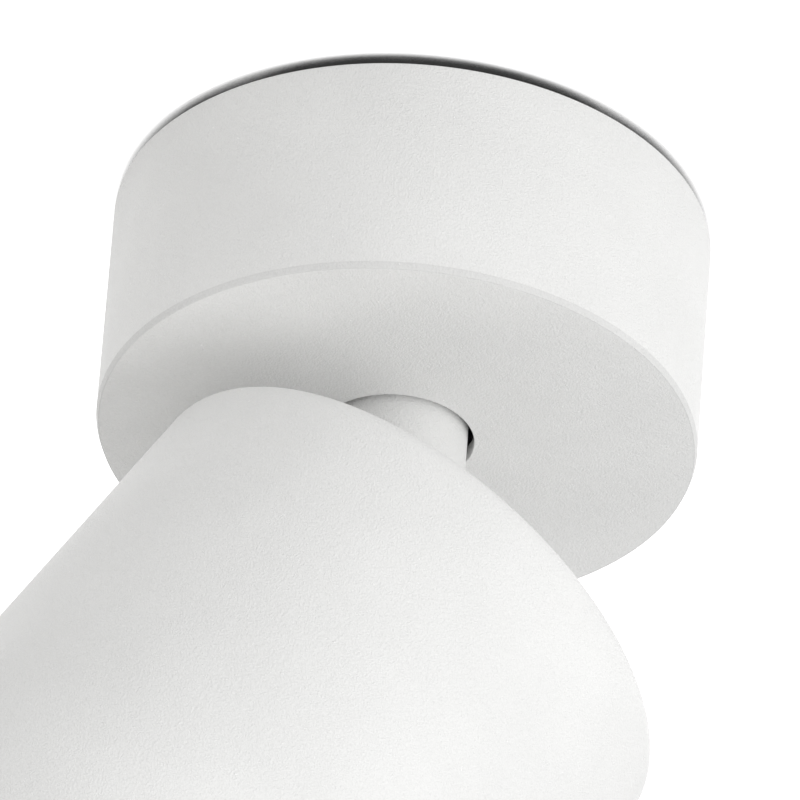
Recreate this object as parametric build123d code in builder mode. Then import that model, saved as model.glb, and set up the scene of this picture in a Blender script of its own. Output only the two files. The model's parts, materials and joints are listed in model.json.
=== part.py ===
from build123d import *
import os
from math import atan2, cos, degrees, hypot, radians, sin, sqrt, tan

# Surface mounted ceiling spotlight with a deep round base and a cylindrical head.
#
# The base is a cup that hangs on a sheet steel bracket under the ceiling. A hollow stem
# turns in a bush inside the base, comes out through a plain round hole in the base's lower
# face and enters the head through a slot in its back. There a yoke tilts on two shoulder
# screws in the stem's forked end. The head holds the heat sink, the LED, its reflector
# and the front glass.
#
# Millimetres and degrees. The origin is the centre of the mounting face, +Z up into the
# ceiling. The head is drawn tilted towards -X, in its own plane through the tilt pivot.

os.makedirs("parts", exist_ok=True)

# ---------------------------------------------------------------- driving dimensions

# Base cover: a cast cup, open towards the ceiling
cover_diameter = 100.0
cover_height = 41.0
cover_wall = 2.2
cover_floor = 3.0
cover_bevel_height = 1.0  # of the bevel round the cover's lower edge
cover_bevel_width = 0.4
cover_floor_radius = 0.8  # inside, between the floor and the wall
cover_rim_radius = 0.4
ceiling_gap = 2.0  # shadow gap between the cover's rim and the ceiling

# Mounting bracket: sheet steel disc with folded tabs
bracket_thickness = 1.5
tab_width = 14.0
lip_width = 2.8  # how far a bayonet lip stands out from its tab
lip_depth = 6.0  # from the ceiling to the lip's bearing face
tab_reach = 3.0  # how far a tab stands out from the disc
lock_tab_depth = 10.5
lip_gap = 0.5  # between the lips and the cover's wall
bracket_bend = 0.8  # inside radius of every fold
fixing_edge = 4.98  # from a fixing slot's end to the disc's edge
fixing_slot_width = 4.5
fixing_slot_length = 12.0

# Bayonet lugs and the lock screw's boss inside the cover's rim
lug_height = 2.0
lug_angle = 16.0
lug_gap = 0.1  # between the lugs and the tabs' folds
lock_screw_radius = 2.0
lock_boss_width = 9.0
lock_boss_height = 7.0
lock_boss_inset = 1.5  # below the cover's rim
lock_boss_corner = 1.5
lock_screw_recess = 0.5
lock_screw_socket = 2.0

# Cable grommet in the bracket
grommet_hole_radius = 6.5
grommet_bore_radius = 4.2
grommet_flange_radius = 8.5
grommet_flange = 1.5
grommet_edge = 0.45
grommet_sink = 0.2  # how far its top stays below the mounting face

# Terminal block and earth connection on the bracket
terminal_length = 24.0
terminal_width = 12.0
terminal_height = 12.0
terminal_offset = 10.0
terminal_edge = 7.48  # from the block's far face to the disc's edge
terminal_corner = 0.8
terminal_gap = 3.5  # between the grommet's flange and the block
pole_pitch = 7.0
pole_hole_radius = 1.6
pole_screw_radius = 1.5
pole_screw_offset = 3.2
pole_well_depth = 2.5
terminal_screw_radius = 1.25
terminal_screw_head_radius = 2.2
terminal_screw_head = 1.6
earth_angle = 122.0
earth_edge = 12.0  # from the earth screw to the disc's edge
earth_screw_radius = 2.0
earth_head_radius = 3.6
earth_head = 2.4
earth_tag_radius = 4.0
earth_tag_thickness = 0.8
earth_tag_length = 8.0
earth_tag_width = 3.6

# LED driver on the bracket
driver_edge = 4.62  # from the ears' screws to the disc's edge
driver_width = 20.0
driver_height = 28.0
driver_offset = 15.0
driver_corner = 1.5
driver_base_radius = 0.9
driver_lid = 2.0
driver_seam = 0.4
ear_length = 6.0
ear_width = 8.0
ear_thickness = 2.0
ear_corner = 1.0
ear_overlap = 1.0  # how far an ear runs into the case and past its screw's half
driver_screw_radius = 1.5
driver_screw_head_radius = 2.8
driver_screw_head = 2.0

# Swivel in the base
boss_count = 3
boss_height = 3.5
boss_radius = 4.0
boss_circle = 21.0
swivel_plate_radius = 27.0
swivel_plate_thickness = 3.0
swivel_plate_edge = 0.3
plate_screw_radius = 1.5
plate_screw_head_radius = 2.8
plate_screw_head = 2.0
plate_screw_depth = 3.0
bush_wall = 2.0
bush_flange_radius = 11.0
bush_flange = 1.5
neck_radius = 7.0
neck_flat = 1.0  # depth of the flat that keys the stop washer
stop_washer_thickness = 1.2
stop_washer_radius = 11.0
stop_circle = 13.6
stop_tab_width = 2.0
stop_tab_reach = 2.4  # how far the tab passes the pin's circle
stop_tab_root = 2.0  # how far the tab runs into the washer
stop_pin_radius = 1.0
stop_pin_height = 2.0
disc_spring_radius = 10.6
disc_spring_sheet = 0.7
disc_spring_rise = 0.6
nut_across_flats = 22.0
nut_height = 5.0
nut_cone = 30.0
nut_cone_spread = 2.0  # past the flats, beyond the corners
neck_end = 1.2  # how far the neck stands out above the nut

# Stem and its forked lower end
stem_diameter = 23.6
stem_gap = 1.15  # between the stem and the hole in the cover
stem_bore_radius = 3.6
stem_edge_radius = 0.5
knuckle_width = 16.0
knuckle_height = 8.0  # flats start this far above the pivot
fork_width = 8.0
fork_height = 6.5

# Tilt pivot
pivot_drop = 40.5  # below the cover's lower face
pivot_inset = 9.5  # inside the head's back
rest_tilt = 31.8
tilt_limit = 40.0
stop_margin = 1.0  # degrees left at the tilt limit before the stem meets the slot's end
shoulder_radius = 3.0
pivot_thread_radius = 2.5
pivot_thread_length = 3.6
friction_washer_radius = 6.0
friction_washer_thickness = 1.0
pivot_spring_sheet = 0.5
pivot_spring_rise = 0.4
pivot_head_radius = 5.0
pivot_head = 2.8
pivot_socket = 3.0
pivot_socket_depth = 2.0
pivot_head_edge = 0.55

# Yoke in the head
yoke_sheet = 2.5
yoke_arm_radius = 6.4
yoke_depth = 18.0  # from the pivot to the yoke's floor
yoke_length = 35.0
yoke_bend = 2.0
yoke_corner = 3.0
yoke_hole_radius = 4.6
yoke_screw_pitch = 25.0
yoke_screw_radius = 2.0
yoke_screw_head_radius = 3.6
yoke_screw_head = 2.4
yoke_screw_depth = 6.0

# Head shell
head_diameter = 99.0
head_length = 110.0
head_wall = 2.0
head_back = 2.5
head_edge_radius = 4.0
head_inner_radius = 2.0
head_front_radius = 0.6
slot_side_gap = 0.8
slot_edge = 0.4

# Heat sink
post_radius = 5.5
post_height = 11.5
sink_base = 6.0
sink_gap = 0.3
fin_count = 24
fin_thickness = 1.6
fin_height = 26.0
fin_inner_radius = 29.0
fin_gap = 1.5
fin_boss_gap = 0.6
sink_hole_radius = 2.4
sink_hole_offset = 25.5
sink_screw_count = 3
sink_screw_inset = 3.7  # from the shell's inner wall
sink_screw_radius = 1.5
sink_screw_head_radius = 2.8
sink_screw_head = 2.0
sink_screw_depth = 6.0
sink_boss_radius = 4.0

# LED
pad_thickness = 0.3
led_size = 19.0
led_thickness = 1.2
emitter_radius = 7.4
emitter_height = 0.5
emitter_edge = 0.3
holder_radius = 22.0
holder_thickness = 4.4
holder_aperture = 8.6
holder_flare = 0.6
holder_gap = 0.1
holder_lug_width = 9.0
holder_lug_end = 31.0
holder_lug_corner = 1.5
holder_screw_circle = 17.5
holder_screw_radius = 1.5
holder_screw_head_radius = 2.6
holder_screw_head = 1.8
holder_screw_depth = 4.0

# Reflector, glass and bezel
front_recess = 16.0  # from the head's front to the glass
glass_thickness = 3.0
glass_gap = 0.6
gasket_thickness = 1.0
gasket_width = 3.0
reflector_wall = 1.2
reflector_neck = 9.4
reflector_rim = 4.0
reflector_rim_thickness = 1.5
reflector_bulge = 4.0
glass_edge = 0.3
bezel_gap = 0.1
bezel_wall = 2.6
bezel_lip = 1.6
bezel_edge = 0.5
bezel_sink = 0.2  # the bezel's mouth lies this far inside the shell's

# Internal wiring
wire_radius = 0.9
lead_radius = 1.6
lead_break = 1.0  # the lead is parted this far to either side of the tilt pivot
wire_turn_radius = 5.4
wire_stub = 2.0
lead_dip = 5.0  # how far under the yoke's floor the lead runs across
lead_bend_radius = 11.0
lead_exit_bend = 0.45  # of the last run, which is straight from there

# General fits
running_gap = 0.05
screw_gap = 0.05
screw_tip_gap = 0.5  # left below a screw's end in a blind hole
cut_margin = 1.0  # how far a cut runs past the face that it opens

# Screw heads, as shares of the head's height or the shank's radius
screw_edge_share = 0.25
socket_radius_share = 0.9
socket_depth_share = 0.6

# ---------------------------------------------------------------- levels and radii

cover_radius = cover_diameter / 2
cover_bore = cover_radius - cover_wall
cover_top = -ceiling_gap
cover_bottom = cover_top - cover_height
floor_top = cover_bottom + cover_floor

lip_radius = sqrt((cover_bore - lip_gap) ** 2 - (tab_width / 2) ** 2)
tab_radius = lip_radius - lip_width
disc_radius = tab_radius - tab_reach
lug_radius = hypot(tab_radius, tab_width / 2) + bracket_bend + lug_gap
bracket_under = -bracket_thickness
fixing_pitch = 2 * (disc_radius - fixing_edge) - fixing_slot_length
earth_offset = disc_radius - earth_edge

stem_radius = stem_diameter / 2
plate_under = floor_top + boss_height
plate_top = plate_under + swivel_plate_thickness
bush_radius = neck_radius + running_gap + bush_wall
shoulder_top = plate_under - bush_flange - running_gap
washer_under = plate_top + running_gap
spring_under = washer_under + stop_washer_thickness
nut_under = spring_under + disc_spring_sheet + disc_spring_rise
nut_top = nut_under + nut_height
neck_top = nut_top + neck_end

pivot_level = cover_bottom - pivot_drop

head_radius = head_diameter / 2
head_bore = head_radius - head_wall
back_face = pivot_inset
back_inside = back_face - head_back
front_face = back_face - head_length
yoke_floor = -yoke_depth
yoke_under = yoke_floor - yoke_sheet
sink_back = yoke_under - post_height
sink_front = sink_back - sink_base
led_front = sink_front - pad_thickness - led_thickness
holder_front = sink_front - holder_thickness
glass_front = front_face + front_recess
glass_back = glass_front + glass_thickness
gasket_front = glass_front - gasket_thickness

washer_face = knuckle_width / 2 + friction_washer_thickness
yoke_inside = washer_face + running_gap
yoke_outside = yoke_inside + yoke_sheet
pivot_spring_face = yoke_outside + running_gap
pivot_head_face = pivot_spring_face + pivot_spring_sheet + pivot_spring_rise

# ---------------------------------------------------------------- the tilted head's planes

pivot_plane = Plane((0, 0, pivot_level)).rotated((0, rest_tilt, 0))
head_section = Plane(pivot_plane.origin, x_dir=pivot_plane.x_dir, z_dir=-pivot_plane.y_dir)
head_axis = Axis(pivot_plane.origin, pivot_plane.z_dir)


def head_level(height):
    """Plane across the head, a height above the pivot towards its back."""
    return pivot_plane.offset(height)


def ring_of(count, radius, start=0.0):
    """Points evenly spaced on a circle."""
    turns = [radians(start + 360 / count * step) for step in range(count)]
    return [(radius * cos(turn), radius * sin(turn)) for turn in turns]


def screws(plane, points, radius, length, head_radius, head):
    """Socket head screws: the plane is the face their heads press on, its normal outwards."""
    with BuildPart() as fasteners:
        with BuildSketch(plane.offset(-length)):
            with Locations(*points):
                Circle(radius)
        extrude(amount=length)
        with BuildSketch(plane):
            with Locations(*points):
                Circle(head_radius)
        extrude(amount=head)
        fillet(fasteners.edges().filter_by(GeomType.CIRCLE).sort_by(
            Axis(plane.origin, plane.z_dir))[-len(points):], head * screw_edge_share)
        with BuildSketch(plane.offset(head)):
            with Locations(*points):
                RegularPolygon(radius * socket_radius_share, 6)
        extrude(amount=-head * socket_depth_share, mode=Mode.SUBTRACT)
    return fasteners


def cone_washers(planes, bore, radius, sheet, rise):
    """Conical spring washers, each standing on its plane with the outer edge down."""
    with BuildPart() as washers:
        for plane in planes:
            side = Plane(plane.origin, x_dir=plane.x_dir, z_dir=-plane.y_dir)
            with BuildSketch(side):
                with BuildLine():
                    Polyline((bore, rise), (bore, rise + sheet), (radius, sheet), (radius, 0), close=True)
                make_face()
            revolve(axis=Axis(plane.origin, plane.z_dir))
    return washers


# ================================================================ base

# ---- mounting bracket: disc, three bayonet tabs, one plain tab for the lock screw

bayonet_angles = (30, 150, 270)
lock_angle = 90
terminal_far = disc_radius - terminal_edge
terminal_near = terminal_far - terminal_width
terminal_centre = (terminal_offset, terminal_near + terminal_width / 2)
entry_point = (0, terminal_near - terminal_gap - grommet_flange_radius)
earth_point = (earth_offset * cos(radians(earth_angle)), earth_offset * sin(radians(earth_angle)))
driver_centre = (0, -driver_offset - driver_width / 2)
driver_screw_side = -driver_offset - ear_width / 2
driver_screw_reach = sqrt((disc_radius - driver_edge) ** 2 - driver_screw_side ** 2)
driver_length = 2 * driver_screw_reach - ear_length
driver_screw_points = [(side * driver_screw_reach, driver_screw_side) for side in (-1, 1)]


def fold(section, inner_corners, outer_corners):
    """Rounds a folded sheet's section: its inner corners first, then the outer ones."""
    for corners, radius in ((inner_corners, bracket_bend), (outer_corners, bracket_bend + bracket_thickness)):
        for across, height in corners:
            fillet(section.vertices().sort_by_distance((across, height, 0))[0], radius)


tab_inside = tab_radius - bracket_thickness
tab_root = disc_radius - tab_reach

with BuildPart() as mounting_bracket:
    with BuildSketch(Plane.XY.offset(bracket_under)):
        Circle(disc_radius)
        with Locations((-fixing_pitch / 2, 0), (fixing_pitch / 2, 0)):
            SlotOverall(fixing_slot_length, fixing_slot_width, mode=Mode.SUBTRACT)
        with Locations(entry_point):
            Circle(grommet_hole_radius, mode=Mode.SUBTRACT)
        with Locations(*driver_screw_points):
            Circle(driver_screw_radius + screw_gap, mode=Mode.SUBTRACT)
        with Locations(terminal_centre):
            Circle(terminal_screw_radius + screw_gap, mode=Mode.SUBTRACT)
        with Locations(earth_point):
            Circle(earth_screw_radius + screw_gap, mode=Mode.SUBTRACT)
    extrude(amount=bracket_thickness)
    for angle in bayonet_angles:
        with BuildSketch(Plane.XZ.rotated((0, 0, angle))) as bayonet_section:
            with BuildLine():
                Polyline(
                    (tab_root, 0),
                    (tab_radius, 0),
                    (tab_radius, -lip_depth),
                    (lip_radius, -lip_depth),
                    (lip_radius, -lip_depth - bracket_thickness),
                    (tab_inside, -lip_depth - bracket_thickness),
                    (tab_inside, bracket_under),
                    (tab_root, bracket_under),
                    close=True,
                )
            make_face()
            fold(
                bayonet_section,
                [(tab_inside, bracket_under), (tab_radius, -lip_depth)],
                [(tab_radius, 0), (tab_inside, -lip_depth - bracket_thickness)],
            )
        extrude(amount=tab_width / 2, both=True)
    with BuildSketch(Plane.XZ.rotated((0, 0, lock_angle))) as lock_tab_section:
        with BuildLine():
            Polyline(
                (tab_root, 0),
                (tab_radius, 0),
                (tab_radius, -lock_tab_depth),
                (tab_inside, -lock_tab_depth),
                (tab_inside, bracket_under),
                (tab_root, bracket_under),
                close=True,
            )
        make_face()
        fold(lock_tab_section, [(tab_inside, bracket_under)], [(tab_radius, 0)])
    extrude(amount=tab_width / 2, both=True)

mounting_bracket.part.label = "mounting_bracket"
export_step(mounting_bracket.part, "parts/mounting_bracket.step")

# ---- grommet that lines the cable entry

with BuildPart() as cable_grommet:
    with BuildSketch(Plane.XY.offset(bracket_under)):
        with Locations(entry_point):
            Circle(grommet_hole_radius - screw_gap)
            Circle(grommet_bore_radius, mode=Mode.SUBTRACT)
    extrude(amount=bracket_thickness - grommet_sink)
    with BuildSketch(Plane.XY.offset(bracket_under)):
        with Locations(entry_point):
            Circle(grommet_flange_radius)
            Circle(grommet_bore_radius, mode=Mode.SUBTRACT)
    extrude(amount=-grommet_flange)
    fillet(cable_grommet.edges().filter_by(GeomType.CIRCLE).group_by(Axis.Z)[0], grommet_edge)

cable_grommet.part.label = "cable_grommet"
export_step(cable_grommet.part, "parts/cable_grommet.step")

# ---- base cover: cup with a plain hole, bosses, bayonet lugs and the lock screw's boss

lock_level = cover_top - lock_boss_inset - lock_boss_height / 2

with BuildPart() as base_cover:
    with BuildSketch(Plane.XY.offset(cover_bottom)):
        Circle(cover_radius)
    extrude(amount=cover_height)
    lower_face = base_cover.faces().sort_by(Axis.Z)[0]
    chamfer(lower_face.edges(), cover_bevel_width, cover_bevel_height, reference=lower_face)
    with BuildSketch(Plane.XY.offset(floor_top)):
        Circle(cover_bore)
    extrude(amount=cover_height, mode=Mode.SUBTRACT)
    fillet(base_cover.edges().group_by(Axis.Z)[-1].sort_by(SortBy.LENGTH)[-1], cover_rim_radius)
    fillet(base_cover.edges().filter_by(GeomType.CIRCLE).filter_by_position(
        Axis.Z, floor_top - 0.01, floor_top + 0.01), cover_floor_radius)
    with BuildSketch(Plane.XY.offset(cover_bottom)):
        Circle(stem_radius + stem_gap)
    extrude(amount=cover_floor, mode=Mode.SUBTRACT)
    with BuildSketch(Plane.XY.offset(floor_top)):
        with Locations(*ring_of(boss_count, boss_circle, 90)):
            Circle(boss_radius)
    extrude(amount=boss_height)
    with BuildSketch(Plane.XY.offset(plate_under)):
        with Locations(*ring_of(boss_count, boss_circle, 90)):
            Circle(plate_screw_radius + screw_gap)
    extrude(amount=-plate_screw_depth - screw_tip_gap, mode=Mode.SUBTRACT)
    for angle in bayonet_angles:
        with BuildSketch(Plane.XY.offset(-lip_depth).rotated((0, 0, angle))):
            with BuildLine():
                inner = CenterArc((0, 0), lug_radius, -lug_angle / 2, lug_angle)
                outer = CenterArc((0, 0), cover_bore + cover_wall / 2, -lug_angle / 2, lug_angle)
                Line(inner @ 0, outer @ 0)
                Line(inner @ 1, outer @ 1)
            make_face()
        extrude(amount=lug_height)
    with BuildSketch(Plane.XZ.offset(-cover_bore - cover_wall / 2)):
        with Locations((0, lock_level)):
            RectangleRounded(lock_boss_width, lock_boss_height, lock_boss_corner)
    extrude(amount=cover_bore + cover_wall / 2 - lug_radius)
    with BuildSketch(Plane.XZ.offset(-cover_radius)):
        with Locations((0, lock_level)):
            Circle(lock_screw_radius + screw_gap)
    extrude(amount=cover_radius - lug_radius + cut_margin, mode=Mode.SUBTRACT)

base_cover.part.label = "base_cover"
export_step(base_cover.part, "parts/base_cover.step")

# ---- lock screw: headless, presses on the bracket's plain tab

lock_screw_outside = cover_radius - lock_screw_recess

with BuildPart() as lock_screw:
    with BuildSketch(Plane.XZ.offset(-lock_screw_outside)):
        with Locations((0, lock_level)):
            Circle(lock_screw_radius)
    extrude(amount=lock_screw_outside - tab_radius)
    with BuildSketch(Plane.XZ.offset(-lock_screw_outside)):
        with Locations((0, lock_level)):
            RegularPolygon(lock_screw_socket / 2, 6, major_radius=False)
    extrude(amount=lock_screw_socket, mode=Mode.SUBTRACT)

lock_screw.part.label = "lock_screw"
export_step(lock_screw.part, "parts/lock_screw.step")

# ---- swivel plate on the cover's bosses

stop_point = (-stop_circle, 0)

with BuildPart() as swivel_plate:
    with BuildSketch(Plane.XY.offset(plate_under)):
        Circle(swivel_plate_radius)
        Circle(bush_radius + screw_gap, mode=Mode.SUBTRACT)
        with Locations(*ring_of(boss_count, boss_circle, 90)):
            Circle(plate_screw_radius + screw_gap, mode=Mode.SUBTRACT)
        with Locations(stop_point):
            Circle(stop_pin_radius + screw_gap, mode=Mode.SUBTRACT)
    extrude(amount=swivel_plate_thickness)
    chamfer(swivel_plate.edges().filter_by(GeomType.CIRCLE).sort_by(SortBy.LENGTH)[-2:],
            swivel_plate_edge)

swivel_plate.part.label = "swivel_plate"
export_step(swivel_plate.part, "parts/swivel_plate.step")

swivel_plate_screws = screws(
    Plane.XY.offset(plate_top), ring_of(boss_count, boss_circle, 90), plate_screw_radius,
    swivel_plate_thickness + plate_screw_depth, plate_screw_head_radius, plate_screw_head)

swivel_plate_screws.part.label = "swivel_plate_screws"
export_step(swivel_plate_screws.part, "parts/swivel_plate_screws.step")

# ---- flanged bush in which the stem's neck turns

with BuildPart() as swivel_bush:
    with BuildSketch(Plane.XZ):
        with BuildLine():
            Polyline(
                (neck_radius + running_gap, plate_top),
                (bush_radius, plate_top),
                (bush_radius, plate_under),
                (bush_flange_radius, plate_under),
                (bush_flange_radius, plate_under - bush_flange),
                (neck_radius + running_gap, plate_under - bush_flange),
                close=True,
            )
        make_face()
    revolve(axis=Axis.Z)

swivel_bush.part.label = "swivel_bush"
export_step(swivel_bush.part, "parts/swivel_bush.step")

# ---- stop pin, pressed into the swivel plate

with BuildPart() as stop_pin:
    with BuildSketch(Plane.XY.offset(plate_under)):
        with Locations(stop_point):
            Circle(stop_pin_radius)
    extrude(amount=swivel_plate_thickness + stop_pin_height)

stop_pin.part.label = "stop_pin"
export_step(stop_pin.part, "parts/stop_pin.step")

# ---- LED driver: a closed box with two screw ears and a lid seam

driver_under = bracket_under - driver_height

with BuildPart() as led_driver:
    with BuildSketch(Plane.XY.offset(driver_under)):
        with Locations(driver_centre):
            RectangleRounded(driver_length, driver_width, driver_corner)
    extrude(amount=driver_height)
    fillet(led_driver.edges().group_by(Axis.Z)[0], driver_base_radius)
    with BuildSketch(Plane.XY.offset(driver_under + driver_lid)):
        with Locations(driver_centre):
            RectangleRounded(driver_length + cut_margin, driver_width + cut_margin, driver_corner)
            RectangleRounded(driver_length - 2 * driver_seam, driver_width - 2 * driver_seam,
                             driver_corner - driver_seam, mode=Mode.SUBTRACT)
    extrude(amount=driver_seam, mode=Mode.SUBTRACT)
    with BuildSketch(Plane.XY.offset(bracket_under)):
        with Locations(*driver_screw_points):
            RectangleRounded(ear_length + 2 * ear_overlap, ear_width, ear_corner)
        with Locations(*driver_screw_points):
            Circle(driver_screw_radius + screw_gap, mode=Mode.SUBTRACT)
    extrude(amount=-ear_thickness)

led_driver.part.label = "led_driver"
export_step(led_driver.part, "parts/led_driver.step")

driver_screws = screws(
    Plane.XY.offset(bracket_under - ear_thickness).rotated((180, 0, 0)),
    [(x, -y) for x, y in driver_screw_points], driver_screw_radius,
    ear_thickness + bracket_thickness - grommet_sink, driver_screw_head_radius, driver_screw_head)

driver_screws.part.label = "driver_screws"
export_step(driver_screws.part, "parts/driver_screws.step")

# ---- terminal block: three poles, wire holes right through, clamp screw wells below

terminal_under = bracket_under - terminal_height
pole_level = bracket_under - terminal_height / 2
pole_places = [terminal_offset + step * pole_pitch for step in (-1, 0, 1)]

with BuildPart() as terminal_block:
    with BuildSketch(Plane.XY.offset(terminal_under)):
        with Locations(terminal_centre):
            RectangleRounded(terminal_length, terminal_width, terminal_corner)
    extrude(amount=terminal_height)
    with BuildSketch(Plane.XZ.offset(-terminal_near)):
        with Locations(*[(place, pole_level) for place in pole_places]):
            Circle(pole_hole_radius)
    extrude(amount=-wire_stub, mode=Mode.SUBTRACT)
    with BuildSketch(Plane.XY.offset(terminal_under)):
        with Locations(*[(place, terminal_centre[1] + side * pole_screw_offset)
                         for place in pole_places for side in (-1, 1)]):
            Circle(pole_screw_radius)
    extrude(amount=pole_well_depth, mode=Mode.SUBTRACT)
    with BuildSketch(Plane.XY.offset(terminal_under)):
        with Locations(terminal_centre):
            Circle(terminal_screw_radius + screw_gap)
    extrude(amount=terminal_height, mode=Mode.SUBTRACT)

terminal_block.part.label = "terminal_block"
export_step(terminal_block.part, "parts/terminal_block.step")

terminal_screw = screws(
    Plane.XY.offset(terminal_under).rotated((180, 0, 0)), [(terminal_centre[0], -terminal_centre[1])],
    terminal_screw_radius, terminal_height + bracket_thickness - grommet_sink,
    terminal_screw_head_radius, terminal_screw_head)

terminal_screw.part.label = "terminal_screw"
export_step(terminal_screw.part, "parts/terminal_screw.step")

# ---- earth tag and its screw

earth_plane = Plane(
    (earth_point[0], earth_point[1], bracket_under), x_dir=(0, 1, 0), z_dir=(0, 0, -1))

with BuildPart() as earth_tag:
    with BuildSketch(earth_plane):
        Circle(earth_tag_radius)
        with Locations((earth_tag_length / 2, 0)):
            Rectangle(earth_tag_length, earth_tag_width)
        Circle(earth_screw_radius + screw_gap, mode=Mode.SUBTRACT)
    extrude(amount=earth_tag_thickness)

earth_tag.part.label = "earth_tag"
export_step(earth_tag.part, "parts/earth_tag.step")

earth_screw = screws(
    earth_plane.offset(earth_tag_thickness), [(0, 0)], earth_screw_radius,
    earth_tag_thickness + bracket_thickness - grommet_sink, earth_head_radius, earth_head)

earth_screw.part.label = "earth_screw"
export_step(earth_screw.part, "parts/earth_screw.step")

# ---- internal wiring in the base


def wire(points, radius, turns):
    """A round wire through the points, each corner turned on its own radius."""
    with BuildPart() as strand:
        with BuildLine() as route:
            FilletPolyline(*points, radius=turns)
        with BuildSketch(Plane(route.line @ 0, z_dir=route.line % 0)):
            Circle(radius)
        sweep()
    return strand


loop_reach = terminal_far + wire_turn_radius + wire_radius / 2
loop_level = pole_level - 2 * wire_turn_radius - wire_radius


def supply_wire(place):
    """A wire that leaves a pole, turns down and runs back to the driver's near face."""
    return wire(
        [(place, terminal_far, pole_level), (place, loop_reach, pole_level),
         (place, loop_reach, loop_level), (place, -driver_offset, loop_level)],
        wire_radius, [wire_turn_radius, wire_turn_radius])


neutral_wire = supply_wire(pole_places[1])
neutral_wire.part.label = "neutral_wire"
export_step(neutral_wire.part, "parts/neutral_wire.step")

live_wire = supply_wire(pole_places[2])
live_wire.part.label = "live_wire"
export_step(live_wire.part, "parts/live_wire.step")

earth_level = bracket_under - wire_radius - screw_gap
tag_end = earth_point[1] + earth_tag_length

earth_wire = wire(
    [(pole_places[0], terminal_far, pole_level), (pole_places[0], loop_reach, pole_level),
     (earth_point[0], loop_reach, earth_level), (earth_point[0], tag_end, earth_level)],
    wire_radius, [wire_turn_radius, wire_turn_radius])
earth_wire.part.label = "earth_wire"
export_step(earth_wire.part, "parts/earth_wire.step")

lead_turn = driver_offset - wire_stub
lead_level = neck_top + lead_turn

led_lead = wire(
    [(0, -driver_offset, lead_level), (0, 0, lead_level), (0, 0, pivot_level + lead_break)],
    lead_radius, [lead_turn])
led_lead.part.label = "led_lead"
export_step(led_lead.part, "parts/led_lead.step")

# ================================================================ stem

# ---- stem: threaded neck, barrel, and a rounded fork with two flats for the yoke's arms

flat_top = pivot_level + knuckle_height
fork_top = pivot_level + fork_height
stem_cut = stem_radius + cut_margin

with BuildPart() as swivel_stem:
    with BuildSketch(Plane.XY.offset(pivot_level)):
        Circle(stem_radius)
    extrude(amount=shoulder_top - pivot_level)
    fillet(swivel_stem.edges().group_by(Axis.Z)[-1], stem_edge_radius)
    with Locations((0, 0, pivot_level)):
        Sphere(stem_radius)
    with BuildSketch(Plane.YZ):
        with BuildLine():
            Polyline(
                (knuckle_width / 2, pivot_level - stem_cut),
                (knuckle_width / 2, flat_top),
                (stem_cut, flat_top + stem_cut - knuckle_width / 2),
                (stem_cut, pivot_level - stem_cut),
                close=True,
            )
        make_face()
        mirror(about=Plane.YZ)
    extrude(amount=stem_cut, both=True, mode=Mode.SUBTRACT)
    with BuildSketch(Plane.XY.offset(shoulder_top)):
        Circle(neck_radius)
    extrude(amount=neck_top - shoulder_top)
    with BuildSketch(Plane.XY.offset(washer_under)):
        with Locations((neck_radius, 0)):
            Rectangle(2 * neck_flat, 2 * neck_radius)
    extrude(amount=neck_top - washer_under, mode=Mode.SUBTRACT)
    with BuildSketch(Plane.XY.offset(neck_top)):
        Circle(stem_bore_radius)
    extrude(amount=pivot_level - neck_top, mode=Mode.SUBTRACT)
    with BuildSketch(Plane.YZ):
        with Locations((0, (fork_top + pivot_level - stem_cut) / 2)):
            Rectangle(fork_width, fork_height + stem_cut)
    extrude(amount=stem_cut, both=True, mode=Mode.SUBTRACT)
    fillet(swivel_stem.edges().filter_by(Axis.X).filter_by_position(
        Axis.Z, fork_top - 0.01, fork_top + 0.01), fork_width / 4)
    with BuildSketch(Plane.XZ):
        with Locations((0, pivot_level)):
            Circle(pivot_thread_radius + screw_gap)
    extrude(amount=knuckle_width, both=True, mode=Mode.SUBTRACT)

swivel_stem.part.label = "swivel_stem"
export_step(swivel_stem.part, "parts/swivel_stem.step")

# ---- stop washer: a D hole turns it with the neck, its tab meets the stop pin

stop_tab_start = stop_washer_radius - stop_tab_root
stop_tab_end = stop_circle + stop_tab_reach

with BuildPart() as stop_washer:
    with BuildSketch(Plane.XY.offset(washer_under)):
        Circle(stop_washer_radius)
        with Locations(((stop_tab_start + stop_tab_end) / 2, 0)):
            Rectangle(stop_tab_end - stop_tab_start, stop_tab_width)
    extrude(amount=stop_washer_thickness)
    with BuildSketch(Plane.XY.offset(washer_under)) as neck_hole:
        Circle(neck_radius + running_gap)
        with Locations((neck_radius + running_gap, 0)):
            Rectangle(2 * neck_flat, 2 * stop_washer_radius, mode=Mode.SUBTRACT)
    extrude(amount=stop_washer_thickness, mode=Mode.SUBTRACT)

stop_washer.part.label = "stop_washer"
export_step(stop_washer.part, "parts/stop_washer.step")

# ---- conical spring and thin nut that load the swivel

disc_spring = cone_washers(
    [Plane.XY.offset(spring_under)], neck_radius + running_gap, disc_spring_radius,
    disc_spring_sheet, disc_spring_rise)

disc_spring.part.label = "disc_spring"
export_step(disc_spring.part, "parts/disc_spring.step")

nut_cone_rise = nut_cone_spread * tan(radians(nut_cone))

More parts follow.
